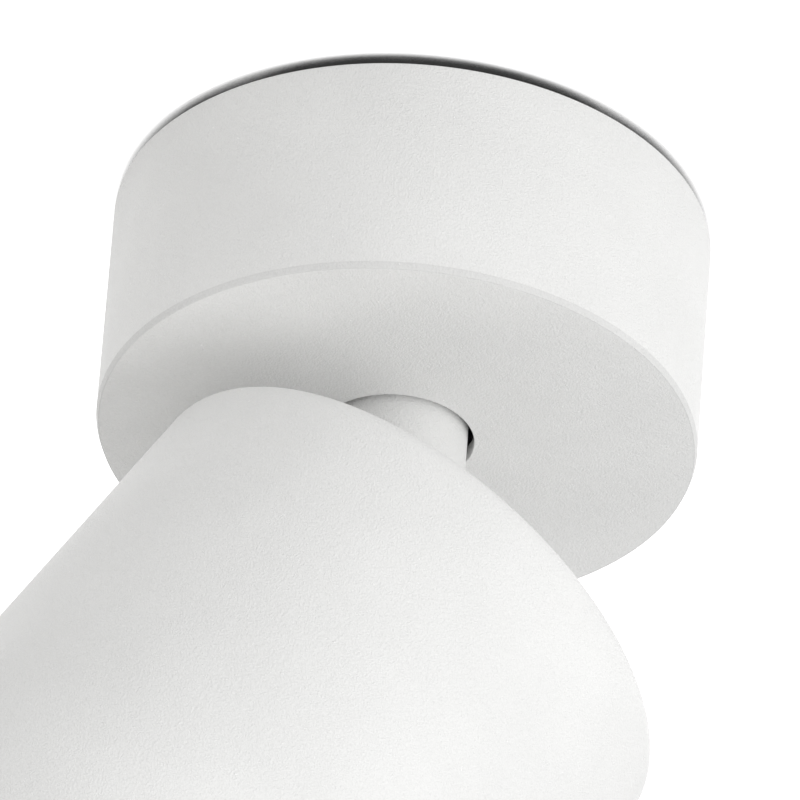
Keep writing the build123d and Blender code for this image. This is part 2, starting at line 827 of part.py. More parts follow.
with BuildPart() as swivel_nut:
    with BuildSketch(Plane.XY.offset(nut_under)):
        RegularPolygon(nut_across_flats / 2, 6, major_radius=False)
        Circle(neck_radius + running_gap, mode=Mode.SUBTRACT)
    extrude(amount=nut_height)
    with BuildSketch(Plane.XZ):
        with BuildLine():
            Polyline(
                (0, nut_under),
                (nut_across_flats / 2, nut_under),
                (nut_across_flats / 2 + nut_cone_spread, nut_under + nut_cone_rise),
                (nut_across_flats / 2 + nut_cone_spread, nut_top - nut_cone_rise),
                (nut_across_flats / 2, nut_top),
                (0, nut_top),
                close=True,
            )
        make_face()
    revolve(axis=Axis.Z, mode=Mode.INTERSECT)

swivel_nut.part.label = "swivel_nut"
export_step(swivel_nut.part, "parts/swivel_nut.step")

# ---- tilt pivot: friction washers, shoulder screws and their spring washers, one on each side


def pivot_side(side, distance):
    """Plane square to the tilt axis, facing outwards on one side of the stem."""
    return Plane((0, side * distance, pivot_level), x_dir=(1, 0, 0), z_dir=(0, side, 0))


with BuildPart() as friction_washers:
    for side in (-1, 1):
        with BuildSketch(pivot_side(side, knuckle_width / 2)):
            Circle(friction_washer_radius)
            Circle(shoulder_radius + running_gap, mode=Mode.SUBTRACT)
        extrude(amount=friction_washer_thickness)

friction_washers.part.label = "friction_washers"
export_step(friction_washers.part, "parts/friction_washers.step")

pivot_springs = cone_washers(
    [pivot_side(side, pivot_spring_face) for side in (-1, 1)], shoulder_radius + running_gap,
    pivot_head_radius, pivot_spring_sheet, pivot_spring_rise)

pivot_springs.part.label = "pivot_springs"
export_step(pivot_springs.part, "parts/pivot_springs.step")

with BuildPart() as pivot_screws:
    for side in (-1, 1):
        with BuildSketch(pivot_side(side, knuckle_width / 2 - pivot_thread_length)):
            Circle(pivot_thread_radius)
        extrude(amount=pivot_thread_length)
        with BuildSketch(pivot_side(side, knuckle_width / 2)):
            Circle(shoulder_radius)
        extrude(amount=pivot_head_face - knuckle_width / 2)
        with BuildSketch(pivot_side(side, pivot_head_face)):
            Circle(pivot_head_radius)
        extrude(amount=pivot_head)
        with BuildSketch(pivot_side(side, pivot_head_face + pivot_head)):
            RegularPolygon(pivot_socket / 2, 6, major_radius=False)
        extrude(amount=-pivot_socket_depth, mode=Mode.SUBTRACT)
    fillet(pivot_screws.edges().filter_by(GeomType.CIRCLE).group_by(Axis.Y)[0], pivot_head_edge)
    fillet(pivot_screws.edges().filter_by(GeomType.CIRCLE).group_by(Axis.Y)[-1], pivot_head_edge)

pivot_screws.part.label = "pivot_screws"
export_step(pivot_screws.part, "parts/pivot_screws.step")

# ================================================================ head

# ---- yoke: a folded U with two arms on the shoulder screws and a floor screwed to the posts

yoke_section = Plane(pivot_plane.origin, x_dir=pivot_plane.y_dir, z_dir=pivot_plane.x_dir)
yoke_points = [(side * yoke_screw_pitch / 2, 0) for side in (-1, 1)]

with BuildPart() as tilt_yoke:
    with BuildSketch(yoke_section):
        with BuildLine():
            FilletPolyline(
                (yoke_inside + yoke_sheet / 2, 0),
                (yoke_inside + yoke_sheet / 2, yoke_under + yoke_sheet / 2),
                (-yoke_inside - yoke_sheet / 2, yoke_under + yoke_sheet / 2),
                (-yoke_inside - yoke_sheet / 2, 0),
                radius=yoke_bend,
            )
            offset(amount=yoke_sheet / 2, side=Side.BOTH)
        make_face()
    extrude(amount=yoke_arm_radius, both=True)
    with BuildSketch(head_level(yoke_under)):
        RectangleRounded(yoke_length, 2 * yoke_inside - 2 * yoke_bend, yoke_corner)
    extrude(amount=yoke_sheet)
    for side in (-1, 1):
        with BuildSketch(head_section.offset(side * (yoke_inside + yoke_sheet / 2))):
            Circle(yoke_arm_radius)
        extrude(amount=yoke_sheet / 2, both=True)
    with BuildSketch(head_section):
        Circle(shoulder_radius + running_gap)
    extrude(amount=2 * yoke_outside, both=True, mode=Mode.SUBTRACT)
    with BuildSketch(head_level(yoke_under)):
        Circle(yoke_hole_radius)
        with Locations(*yoke_points):
            Circle(yoke_screw_radius + screw_gap)
    extrude(amount=yoke_sheet, mode=Mode.SUBTRACT)

tilt_yoke.part.label = "tilt_yoke"
export_step(tilt_yoke.part, "parts/tilt_yoke.step")

yoke_screws = screws(
    head_level(yoke_floor), yoke_points, yoke_screw_radius, yoke_sheet + yoke_screw_depth,
    yoke_screw_head_radius, yoke_screw_head)

yoke_screws.part.label = "yoke_screws"
export_step(yoke_screws.part, "parts/yoke_screws.step")

# ---- head shell: cup with a rounded back edge, a slot for the stem and three bosses

stop_angle = radians(tilt_limit + stop_margin)
slot_width = stem_diameter + 2 * slot_side_gap
slot_reach = (stem_radius + pivot_inset * sin(stop_angle)) / cos(stop_angle)
slot_run = slot_reach - slot_width / 2
sink_screw_points = ring_of(sink_screw_count, head_bore - sink_screw_inset)

with BuildPart() as head_shell:
    with BuildSketch(head_section) as shell_wall:
        with BuildLine():
            Polyline(
                (0, back_face),
                (head_radius, back_face),
                (head_radius, front_face),
                (head_bore, front_face),
                (head_bore, back_inside),
                (0, back_inside),
                close=True,
            )
        make_face()
        fillet(shell_wall.vertices().group_by(Axis.Y)[0], head_front_radius)
        fillet(shell_wall.vertices().filter_by_position(
            Axis.Y, back_inside - 0.01, back_inside + 0.01).sort_by(Axis.X)[-1], head_inner_radius)
        fillet(shell_wall.vertices().group_by(Axis.Y)[-1].sort_by(Axis.X)[-1], head_edge_radius)
    revolve(axis=head_axis)
    with BuildSketch(head_level(sink_back)):
        with Locations(*sink_screw_points):
            Circle(sink_boss_radius)
    extrude(amount=back_inside - sink_back + head_back / 2)
    with BuildSketch(head_level(sink_back)):
        with Locations(*sink_screw_points):
            Circle(sink_screw_radius + screw_gap)
    extrude(amount=sink_screw_depth + screw_tip_gap, mode=Mode.SUBTRACT)
    with BuildSketch(head_level(back_face)):
        with Locations((-slot_run / 2, 0)):
            SlotCenterToCenter(slot_run, slot_width)
    extrude(amount=-head_back, mode=Mode.SUBTRACT)
    back_rim = head_shell.faces().filter_by(GeomType.PLANE).sort_by(head_axis)[-1]
    chamfer(back_rim.inner_wires()[0].edges(), slot_edge)

head_shell.part.label = "head_shell"
export_step(head_shell.part, "parts/head_shell.step")

# ---- heat sink: thick disc against the LED, radial fins and two posts for the yoke

fin_outer_radius = head_bore - fin_gap
fin_length = fin_outer_radius - fin_inner_radius

with BuildPart() as heat_sink:
    with BuildSketch(head_level(sink_front)):
        Circle(head_bore - sink_gap)
    extrude(amount=sink_base)
    with BuildSketch(head_level(sink_back)):
        with PolarLocations(fin_inner_radius + fin_length / 2, fin_count, start_angle=180 / fin_count):
            Rectangle(fin_length, fin_thickness)
        with Locations(*sink_screw_points):
            Circle(sink_boss_radius + fin_boss_gap, mode=Mode.SUBTRACT)
    extrude(amount=fin_height)
    with BuildSketch(head_level(sink_back)):
        with Locations(*yoke_points):
            Circle(post_radius)
    extrude(amount=post_height)
    with BuildSketch(head_level(yoke_under)):
        with Locations(*yoke_points):
            Circle(yoke_screw_radius + screw_gap)
    extrude(amount=-yoke_screw_depth - screw_tip_gap, mode=Mode.SUBTRACT)
    with BuildSketch(head_level(sink_front)):
        with Locations(*sink_screw_points):
            Circle(sink_screw_radius + screw_gap)
        with Locations((0, sink_hole_offset)):
            Circle(sink_hole_radius)
    extrude(amount=sink_base, mode=Mode.SUBTRACT)
    with BuildSketch(head_level(sink_front)):
        with Locations(*ring_of(2, holder_screw_circle, 45)):
            Circle(holder_screw_radius + screw_gap)
    extrude(amount=holder_screw_depth + screw_tip_gap, mode=Mode.SUBTRACT)

heat_sink.part.label = "heat_sink"
export_step(heat_sink.part, "parts/heat_sink.step")


def head_front_level(height):
    """Plane across the head that faces its front."""
    return Plane(head_level(height).origin, x_dir=pivot_plane.x_dir, z_dir=-pivot_plane.z_dir)


def facing_front(points):
    """The head's cross points as seen on a plane that faces its front."""
    return [(x, -y) for x, y in points]


sink_screws = screws(
    head_front_level(sink_front), facing_front(sink_screw_points), sink_screw_radius,
    sink_base + sink_screw_depth, sink_screw_head_radius, sink_screw_head)

sink_screws.part.label = "sink_screws"
export_step(sink_screws.part, "parts/sink_screws.step")

# ---- LED: thermal pad, square module, round emitter, and the holder that presses them down

with BuildPart() as thermal_pad:
    with BuildSketch(head_front_level(sink_front)):
        Rectangle(led_size, led_size)
    extrude(amount=pad_thickness)

thermal_pad.part.label = "thermal_pad"
export_step(thermal_pad.part, "parts/thermal_pad.step")

with BuildPart() as led_module:
    with BuildSketch(head_front_level(sink_front - pad_thickness)):
        Rectangle(led_size, led_size)
    extrude(amount=led_thickness)

led_module.part.label = "led_module"
export_step(led_module.part, "parts/led_module.step")

with BuildPart() as led_emitter:
    with BuildSketch(head_front_level(led_front)):
        Circle(emitter_radius)
    extrude(amount=emitter_height)
    fillet(led_emitter.edges().filter_by(GeomType.CIRCLE).sort_by(head_axis)[0], emitter_edge)

led_emitter.part.label = "led_emitter"
export_step(led_emitter.part, "parts/led_emitter.step")

holder_screw_points = facing_front(ring_of(2, holder_screw_circle, 45))

with BuildPart() as led_holder:
    with BuildSketch(head_front_level(sink_front)):
        Circle(holder_radius)
        with Locations((0, -holder_lug_end / 2)):
            RectangleRounded(holder_lug_width, holder_lug_end, holder_lug_corner)
        with Locations(*holder_screw_points):
            Circle(holder_screw_radius + screw_gap, mode=Mode.SUBTRACT)
    extrude(amount=holder_thickness)
    with BuildSketch(head_front_level(sink_front)):
        Rectangle(led_size + 2 * holder_gap, led_size + 2 * holder_gap)
    extrude(amount=pad_thickness + led_thickness, mode=Mode.SUBTRACT)
    with BuildSketch(head_front_level(holder_front)):
        Circle(holder_aperture + holder_flare)
    extrude(amount=-holder_thickness, taper=degrees(atan2(holder_flare, holder_thickness)),
            mode=Mode.SUBTRACT)

led_holder.part.label = "led_holder"
export_step(led_holder.part, "parts/led_holder.step")

holder_screws = screws(
    head_front_level(holder_front), holder_screw_points, holder_screw_radius,
    holder_thickness + holder_screw_depth, holder_screw_head_radius, holder_screw_head)

holder_screws.part.label = "holder_screws"
export_step(holder_screws.part, "parts/holder_screws.step")

# ---- lead in the head: from the pivot through the yoke's floor and the heat sink

head_lead_points = [(0, 0, -lead_break), (0, 0, yoke_under - lead_dip),
                    (0, sink_hole_offset, yoke_under - lead_dip), (0, sink_hole_offset, sink_front)]
lead_last_run = post_height + sink_base - lead_dip

head_lead = wire(
    [pivot_plane.from_local_coords(point) for point in head_lead_points],
    lead_radius, [lead_bend_radius, lead_last_run * lead_exit_bend])
head_lead.part.label = "head_lead"
export_step(head_lead.part, "parts/head_lead.step")

# ---- reflector: a thin bowl on the holder, with a flat rim behind the glass

rim_radius = head_bore - glass_gap
mouth_radius = rim_radius - reflector_rim

with BuildPart() as reflector:
    with BuildSketch(head_section) as bowl:
        with BuildLine():
            curve = ThreePointArc(
                (reflector_neck + reflector_wall, holder_front),
                ((reflector_neck + mouth_radius) / 2 + reflector_bulge,
                 (holder_front + glass_back) / 2 + reflector_bulge),
                (mouth_radius, glass_back),
            )
            Polyline(curve @ 1, (0, glass_back), (0, holder_front), curve @ 0)
        make_face()
    revolve(axis=head_axis)
    ends = reflector.faces().filter_by(GeomType.PLANE)
    offset(amount=-reflector_wall, openings=ends)
    with BuildSketch(head_level(glass_back)):
        Circle(rim_radius)
        Circle(mouth_radius - reflector_wall / 2, mode=Mode.SUBTRACT)
    extrude(amount=reflector_rim_thickness)

reflector.part.label = "reflector"
export_step(reflector.part, "parts/reflector.step")

# ---- front glass, its gasket and the bezel screwed into the shell's mouth

with BuildPart() as front_glass:
    with BuildSketch(head_level(glass_front)):
        Circle(rim_radius)
    extrude(amount=glass_thickness)
    chamfer(front_glass.edges().filter_by(GeomType.CIRCLE), glass_edge)

front_glass.part.label = "front_glass"
export_step(front_glass.part, "parts/front_glass.step")

with BuildPart() as glass_gasket:
    with BuildSketch(head_level(gasket_front)):
        Circle(rim_radius)
        Circle(rim_radius - gasket_width, mode=Mode.SUBTRACT)
    extrude(amount=gasket_thickness)

glass_gasket.part.label = "glass_gasket"
export_step(glass_gasket.part, "parts/glass_gasket.step")

bezel_radius = head_bore - bezel_gap

with BuildPart() as front_bezel:
    with BuildSketch(head_section) as bezel_wall_section:
        with BuildLine():
            Polyline(
                (bezel_radius, gasket_front),
                (bezel_radius, front_face + bezel_sink),
                (bezel_radius - bezel_wall, front_face + bezel_sink),
                (bezel_radius - bezel_wall - bezel_lip, gasket_front),
                close=True,
            )
        make_face()
        fillet(bezel_wall_section.vertices().group_by(Axis.Y)[0], bezel_edge)
    revolve(axis=head_axis)

front_bezel.part.label = "front_bezel"
export_step(front_bezel.part, "parts/front_bezel.step")
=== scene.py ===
"""A surface mounted ceiling spotlight: a round base, a turning stem and a tilting cylindrical head."""

import json
import logging
from dataclasses import dataclass
from enum import Enum
from math import atan2, cos, hypot, pi, radians, sin, tan

import bmesh
import bpy
from mathutils import Matrix, Vector

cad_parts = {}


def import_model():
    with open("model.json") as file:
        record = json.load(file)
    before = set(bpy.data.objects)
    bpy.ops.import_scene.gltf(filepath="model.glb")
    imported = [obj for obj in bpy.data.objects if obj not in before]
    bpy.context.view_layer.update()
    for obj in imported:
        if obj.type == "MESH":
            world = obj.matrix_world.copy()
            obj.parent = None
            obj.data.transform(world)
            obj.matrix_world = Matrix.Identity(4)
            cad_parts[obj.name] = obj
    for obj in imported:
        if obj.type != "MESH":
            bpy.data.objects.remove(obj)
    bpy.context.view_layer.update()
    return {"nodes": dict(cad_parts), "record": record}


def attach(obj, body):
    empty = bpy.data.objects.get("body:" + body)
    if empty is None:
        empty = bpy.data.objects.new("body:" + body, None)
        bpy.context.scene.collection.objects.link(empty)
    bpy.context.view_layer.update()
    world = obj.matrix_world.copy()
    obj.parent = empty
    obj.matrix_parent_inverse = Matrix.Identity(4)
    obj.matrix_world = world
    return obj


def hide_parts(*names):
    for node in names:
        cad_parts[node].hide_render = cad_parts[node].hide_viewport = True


LOG = logging.getLogger("ceiling_spotlight")
MM = 0.001
MERGE = 1e-6
SHARP_FROM = radians(28)
BEVEL_PAINTED_SHADE = 0.14  # how much darker the marked bevel is painted: painted shade
SPECK_PITCH_MM = 1.4  # between the places where a proud grain may stand
SPECK_PAINTED_GLINT = 0.2  # how much lighter a proud grain is painted: a painted glint
SPECK_RISE = 0.4  # how far it stands out of the pattern
BUMP_DEPTH = 0.45  # of a pattern, as a share of its own size
CLOUDS_PER_METRE = 45.0  # slow wander of a colour, about 22 mm across
STRIPE_PITCH_MM = 6.0
STRIPE_SHARE = 0.62
PAINT = 0.8  # how much light matt white ceiling paint gives back
PAINT_GLOW = 0.8  # what the ceiling adds of its own where it is looked at, so that it shows white
GAP_REACH = 0.05  # metres within which the ceiling's ambient occlusion looks for what darkens its painted shade


def linear(hex_colour: str) -> tuple[float, float, float, float]:
    """Turns a written colour into the linear one that the shaders take.

    Args:
        hex_colour: An sRGB colour such as "#D8D8D6".

    Returns:
        The linear red, green, blue and an alpha of 1.
    """
    parts = [int(hex_colour[i:i + 2], 16) / 255 for i in (1, 3, 5)]
    turned = [p / 12.92 if p <= 0.04045 else ((p + 0.055) / 1.055) ** 2.4 for p in parts]
    return (turned[0], turned[1], turned[2], 1.0)


def add_node(tree: bpy.types.NodeTree, kind: str, settings: dict | None = None,
             inputs: dict | None = None) -> bpy.types.Node:
    """Adds one node with its settings, its values and its links.

    Args:
        tree: The node tree that gets the node.
        kind: The node's type name.
        settings: Attributes of the node, such as its operation.
        inputs: Values, output sockets or nodes, whose first output is meant, by the input's name or index.

    Returns:
        The new node.
    """
    node = tree.nodes.new(kind)
    for name, value in (settings or {}).items():
        setattr(node, name, value)
    for key, value in (inputs or {}).items():
        value = value.outputs[0] if isinstance(value, bpy.types.Node) else value
        if isinstance(value, bpy.types.NodeSocket):
            tree.links.new(value, node.inputs[key])
        else:
            node.inputs[key].default_value = value
    return node


# ---------------------------------------------------------------- finishes


class Grain(Enum):
    """The patterns that a surface can carry."""

    PEEL = "orange peel of a stoved powder"
    MOULDED = "fine spark texture of a moulding tool"
    ROLLED = "rolling lines of a sheet"
    SPANGLE = "crystals of a zinc coat"
    CAST = "skin of a pressure casting"
    SPUN = "fine rings of a spun and anodised bowl"


@dataclass(frozen=True)
class Finish:
    """One real surface, with what it gives the eye.

    Args:
        name: The material's plain name.
        slot: The record's slot that it stands for.
        colour: Its sRGB colour.
        roughness: The shader's roughness.
        metallic: 1 for bare metal.
        grain: The pattern on it.
        grain_mm: The pattern's real size.
        relief: How strong the pattern stands in the light.
        mottle: How far the colour wanders over the surface, from 0 to 1.
        coat: Weight of a clear coat.
        specks: Share of proud grains, raised and painted lighter as glints, in a powder coat, from 0 to 1;
            above 0 the marked bevel is also painted darker as painted shade.
        stripe: A second colour that runs along a wire, or nothing.
    """

    name: str
    slot: str
    colour: str
    roughness: float
    metallic: float = 0.0
    grain: Grain = Grain.MOULDED
    grain_mm: float = 0.4
    relief: float = 0.15
    mottle: float = 0.05
    coat: float = 0.0
    specks: float = 0.0
    stripe: str = ""

    def pattern(self, tree: bpy.types.NodeTree) -> bpy.types.NodeSocket:
        """Builds the surface pattern in object space.

        Args:
            tree: The material's tree.

        Returns:
            The socket with the pattern's height, from 0 to 1.
        """
        place = add_node(tree, "ShaderNodeTexCoord").outputs["Object"]
        per_metre = 1 / (self.grain_mm * MM)
        if self.grain is Grain.ROLLED:
            place = add_node(tree, "ShaderNodeMapping", {}, {"Vector": place, "Scale": (1, 0.03, 1)})
        if self.grain is Grain.SPANGLE:
            cells = add_node(tree, "ShaderNodeTexVoronoi", {"feature": "F1"},
                             {"Vector": place, "Scale": per_metre}).outputs["Color"]
            return add_node(tree, "ShaderNodeSeparateColor", {}, {"Color": cells}).outputs["Red"]
        detail = {Grain.PEEL: 1.0, Grain.MOULDED: 2.0, Grain.ROLLED: 3.0, Grain.CAST: 4.0, Grain.SPUN: 0.0}
        return add_node(tree, "ShaderNodeTexNoise", {},
                        {"Vector": place, "Scale": per_metre, "Detail": detail[self.grain],
                         "Roughness": 0.6}).outputs["Fac"]

    def speckle(self, tree: bpy.types.NodeTree) -> bpy.types.NodeSocket:
        """Marks a few grains of powder that stand proud; they are raised, and painted lighter as a painted
        glint.

        Args:
            tree: The material's tree.

        Returns:
            A socket that is 1 on a grain and 0 between them.
        """
        place = add_node(tree, "ShaderNodeTexCoord").outputs["Object"]
        cells = add_node(tree, "ShaderNodeTexVoronoi", {"feature": "F1"},
                         {"Vector": place, "Scale": 1 / (SPECK_PITCH_MM * MM), "Randomness": 1.0})
        chance = add_node(tree, "ShaderNodeSeparateColor", {}, {"Color": cells.outputs["Color"]})
        few = add_node(tree, "ShaderNodeMath", {"operation": "GREATER_THAN"}, {0: chance, 1: 1 - self.specks})
        dot = add_node(tree, "ShaderNodeMapRange", {"interpolation_type": "SMOOTHSTEP"},
                       {"Value": cells.outputs["Distance"], "From Min": 0.05, "From Max": 0.16,
                        "To Min": 1.0, "To Max": 0.0})
        return add_node(tree, "ShaderNodeMath", {"operation": "MULTIPLY"}, {0: few, 1: dot}).outputs[0]

    def build(self) -> bpy.types.Material:
        """Makes the material.

        Returns:
            The new material.
        """
        material = bpy.data.materials.new(self.name)
        material.use_nodes = True
        tree = material.node_tree
        shader = tree.nodes["Principled BSDF"]
        shader.inputs["Metallic"].default_value = self.metallic
        if self.coat:
            shader.inputs["Coat Weight"].default_value = self.coat
            shader.inputs["Coat Roughness"].default_value = 0.2
        height = self.pattern(tree)
        place = add_node(tree, "ShaderNodeTexCoord").outputs["Object"]
        cloud = add_node(tree, "ShaderNodeTexNoise", {},
                         {"Vector": place, "Scale": CLOUDS_PER_METRE, "Detail": 2.0}).outputs["Fac"]
        wander = add_node(tree, "ShaderNodeMath", {"operation": "ADD"}, {0: height, 1: cloud})
        tone = add_node(tree, "ShaderNodeMapRange", {},
                        {"Value": wander, "From Min": 0.6, "From Max": 1.4,
                         "To Min": 1 - self.mottle, "To Max": 1 + self.mottle * 0.4})
        if self.specks:
            # Proud grains are raised and painted lighter: a painted glint.
            proud = self.speckle(tree)
            # The marked bevel darkens the coat's colour here: painted shade.
            painted_bevel_shade = add_node(tree, "ShaderNodeAttribute", {"attribute_name": "edge"}).outputs["Fac"]
            for mark, change in ((proud, SPECK_PAINTED_GLINT), (painted_bevel_shade, -BEVEL_PAINTED_SHADE)):
                tone = add_node(tree, "ShaderNodeMath", {"operation": "MULTIPLY_ADD"},
                                {0: mark, 1: change, 2: tone})
            height = add_node(tree, "ShaderNodeMath", {"operation": "MULTIPLY_ADD"},
                              {0: proud, 1: SPECK_RISE, 2: height})
        body = linear(self.colour)[:3]
        if self.stripe:
            lean = add_node(tree, "ShaderNodeTexWave", {"bands_direction": "DIAGONAL"},
                            {"Vector": place, "Scale": 1 / (STRIPE_PITCH_MM * MM), "Distortion": 0.0})
            edge = add_node(tree, "ShaderNodeMath", {"operation": "GREATER_THAN"},
                            {0: lean.outputs["Fac"], 1: STRIPE_SHARE})
            body = add_node(tree, "ShaderNodeMix", {"data_type": "RGBA"},
                            {0: edge, 6: linear(self.colour), 7: linear(self.stripe)}).outputs[2]
        tint = add_node(tree, "ShaderNodeVectorMath", {"operation": "SCALE"}, {0: body, "Scale": tone})
        tree.links.new(tint.outputs[0], shader.inputs["Base Color"])
        matt = add_node(tree, "ShaderNodeMapRange", {},
                        {"Value": height, "From Min": 0.3, "From Max": 0.7,
                         "To Min": max(self.roughness - 0.05, 0.02), "To Max": self.roughness + 0.05})
        tree.links.new(matt.outputs[0], shader.inputs["Roughness"])
        bump = add_node(tree, "ShaderNodeBump", {},
                        {"Height": height, "Strength": self.relief,
                         "Distance": self.grain_mm * MM * BUMP_DEPTH})
        tree.links.new(bump.outputs[0], shader.inputs["Normal"])
        return material


class Kit:
    """Every finish of the spotlight, made once."""

    # Electrostatic polyester powder, stoved: dull, with a fine sandy grain that side light picks out and a few
    # proud grains. The real grain is about 0.15 mm; it is drawn at 0.36 mm so that it shows in the render.
    # Its proud grains are painted lighter, a painted glint, and the cover's marked bevel darker, painted shade.
    WHITE = Finish("white polyester powder coat", "white_powder_coat", "#E7E7E6", 0.55, 0.0,
                   Grain.PEEL, 0.36, 1.0, 0.06, specks=0.08)
    # Hot dip zinc on sheet: flat grey crystals of different tones.
    ZINC = Finish("galvanised steel sheet", "zinc_sheet", "#A9ACAF", 0.42, 1.0, Grain.SPANGLE, 2.5, 0.05, 0.18)
    # Cold rolled and tempered strip: dark, with fine lines along the roll.
    SPRING = Finish("rolled spring steel", "spring_steel", "#7C7F84", 0.32, 1.0, Grain.ROLLED, 0.3, 0.10, 0.08)
    # Turned and zinc plated fasteners: bright, with faint turning lines.
    SCREW = Finish("bright zinc plated steel", "zinc_screw", "#BFC2C6", 0.28, 1.0,
                   Grain.ROLLED, 0.25, 0.08, 0.06)
    # Moulded rubber: nearly black and dull.
    RUBBER = Finish("black moulded rubber", "black_rubber", "#232323", 0.75, 0.0, Grain.MOULDED, 0.3, 0.2, 0.10)
    # Clear silicone, milky where it is thick.
    SILICONE = Finish("translucent silicone rubber", "clear_silicone", "#DADAD5", 0.45, 0.0,
                      Grain.MOULDED, 0.5, 0.1, 0.04)
    # Turned acetal rod: slightly waxy off-white.
    ACETAL = Finish("natural acetal", "acetal", "#E6E5DF", 0.38, 0.0, Grain.MOULDED, 0.5, 0.08, 0.03)
    # Injection moulded housing with a spark eroded texture.
    CASE = Finish("white polycarbonate case", "driver_case", "#DEDED9", 0.5, 0.0,
                  Grain.MOULDED, 0.35, 0.25, 0.03)
    # Moulded polyamide: warm ivory with a soft sheen.
    TERMINAL = Finish("ivory polyamide", "terminal_plastic", "#E0DCCB", 0.48, 0.0,
                      Grain.MOULDED, 0.35, 0.15, 0.04)
    # Stamped brass under a thin coat of tin: pale and a little warm.
    BRASS = Finish("tinned brass", "tinned_brass", "#CDBF98", 0.35, 1.0, Grain.ROLLED, 0.3, 0.08, 0.08)
    # Extruded vinyl insulation: an even satin colour.
    BROWN = Finish("brown wire insulation", "brown_insulation", "#5B3421", 0.42, 0.0,
                   Grain.MOULDED, 0.4, 0.06, 0.06)
    BLUE = Finish("blue wire insulation", "blue_insulation", "#2E68B4", 0.42, 0.0,
                  Grain.MOULDED, 0.4, 0.06, 0.06)
    EARTH = Finish("green and yellow wire insulation", "green_yellow_insulation", "#D8CE2B", 0.42, 0.0,
                   Grain.MOULDED, 0.4, 0.06, 0.06, stripe="#2F8A3C")
    # Extruded silicone sheath round the lamp's lead.
    SHEATH = Finish("white lead sheath", "white_sheath", "#DDDDD9", 0.45, 0.0, Grain.MOULDED, 0.4, 0.06, 0.04)
    # Aluminium from the die, not coated: pale grey with a slightly uneven skin.
    CAST = Finish("pressure cast aluminium", "bare_aluminium", "#BFC1C3", 0.5, 1.0, Grain.CAST, 0.6, 0.3, 0.08)
    # Filled silicone sheet: soft mid grey.
    PAD = Finish("grey thermal silicone", "thermal_silicone", "#72757A", 0.7, 0.0,
                 Grain.MOULDED, 0.3, 0.15, 0.08)
    # Fired alumina board: clean white, almost smooth.
    CERAMIC = Finish("white ceramic board", "led_ceramic", "#E8E8E4", 0.4, 0.0, Grain.MOULDED, 0.25, 0.08, 0.02)
    # Phosphor in silicone: deep yellow and slightly wet.
    PHOSPHOR = Finish("yellow phosphor gel", "led_phosphor", "#E9BE3A", 0.3, 0.0,
                      Grain.MOULDED, 0.25, 0.12, 0.06)
    # Moulded heat-proof polymer, matt white.
    HOLDER = Finish("white heat-proof polymer", "holder_plastic", "#DFDFDB", 0.5, 0.0,
                    Grain.MOULDED, 0.35, 0.15, 0.03)
    # Spun aluminium, polished and anodised: a bright mirror with a soft haze.
    MIRROR = Finish("bright anodised aluminium", "reflector_metal", "#E3E5E8", 0.16, 1.0,
                    Grain.SPUN, 1.2, 0.02, 0.03)


BY_SLOT: dict[str, Finish] = {
    finish.slot: finish for finish in vars(Kit).values() if isinstance(finish, Finish)}


class FinishShop:
    """Hands out each finish's material, made when it is first asked for."""

    def __init__(self) -> None:
        """Starts with no material made."""
        self.made: dict[str, bpy.types.Material] = {}

    def get(self, finish: Finish) -> bpy.types.Material:
        """Finds or makes the material of a finish.

        Args:
            finish: The finish that is wanted.

        Returns:
            Its material.
        """
        if finish.name not in self.made:
            self.made[finish.name] = finish.build()
        return self.made[finish.name]


# ---------------------------------------------------------------- workbench


@dataclass(frozen=True)
class Row:
    """One row of a turned piece's outline, in millimetres.

    Args:
        across: Distance from the axis, or to a corner of the hexagon.
        along: Height along the axis.
        hexagonal: 1 where the row is a hexagon and not a circle.
    """

    across: float
    along: float
    hexagonal: float = 0.0


@dataclass(frozen=True)
class Corner:
    """One corner of an outline, in millimetres, with the radius that breaks it."""

    across: float
    along: float
    radius: float = 0.0


def rounded(corners: list[Corner], steps: int = 5) -> list[Row]:
    """Draws a closed outline with its corners rounded.

    Args:
        corners: The outline's corners in order.
        steps: Straight pieces in each rounded corner.

    Returns:
        The outline's rows, the first one again at the end.
    """
    rows: list[Row] = []
    for index, corner in enumerate(corners):
        here = Vector((corner.across, corner.along))
        if not corner.radius:
            rows.append(Row(here.x, here.y))
            continue
        before, after = corners[index - 1], corners[(index + 1) % len(corners)]
        back = (Vector((before.across, before.along)) - here).normalized()
        onward = (Vector((after.across, after.along)) - here).normalized()
        half = back.angle(onward) / 2
        centre = here + (back + onward).normalized() * (corner.radius / sin(half))
        first = here + back * (corner.radius / tan(half)) - centre
        last = here + onward * (corner.radius / tan(half)) - centre
        begin = atan2(first.y, first.x)
        sweep = (atan2(last.y, last.x) - begin + pi) % (2 * pi) - pi
        for step in range(steps + 1):
            turn = begin + sweep * step / steps
            rows.append(Row(centre.x + corner.radius * cos(turn), centre.y + corner.radius * sin(turn)))
    return rows + rows[:1]


def on_axis(corners: list[Corner], steps: int = 4) -> list[Row]:
    """Draws an outline that starts and ends on the axis, such as that of a pin.

    Args:
        corners: The outline's corners, the first and last on the axis.
        steps: Straight pieces in each rounded corner.

    Returns:
        The outline's rows.
    """
    return rounded(corners, steps)[:-1]


def pin(radius: float, low: float, high: float, edge: float = 0.0) -> list[Row]:
    """Draws a pin's outline between two levels, both its edges broken by the same radius."""
    return on_axis([Corner(0, low), Corner(radius, low, edge), Corner(radius, high, edge), Corner(0, high)])


@dataclass(frozen=True)
class Ring:
    """How copies of a piece are set round a circle.

    Args:
        copies: How many there are.
        circle: The circle's radius in millimetres.
        start: Where the first one stands, in degrees.
        outward: Whether their own axes point away from the circle's centre.
    """

    copies: int = 1
    circle: float = 0.0
    start: float = 0.0
    outward: bool = False


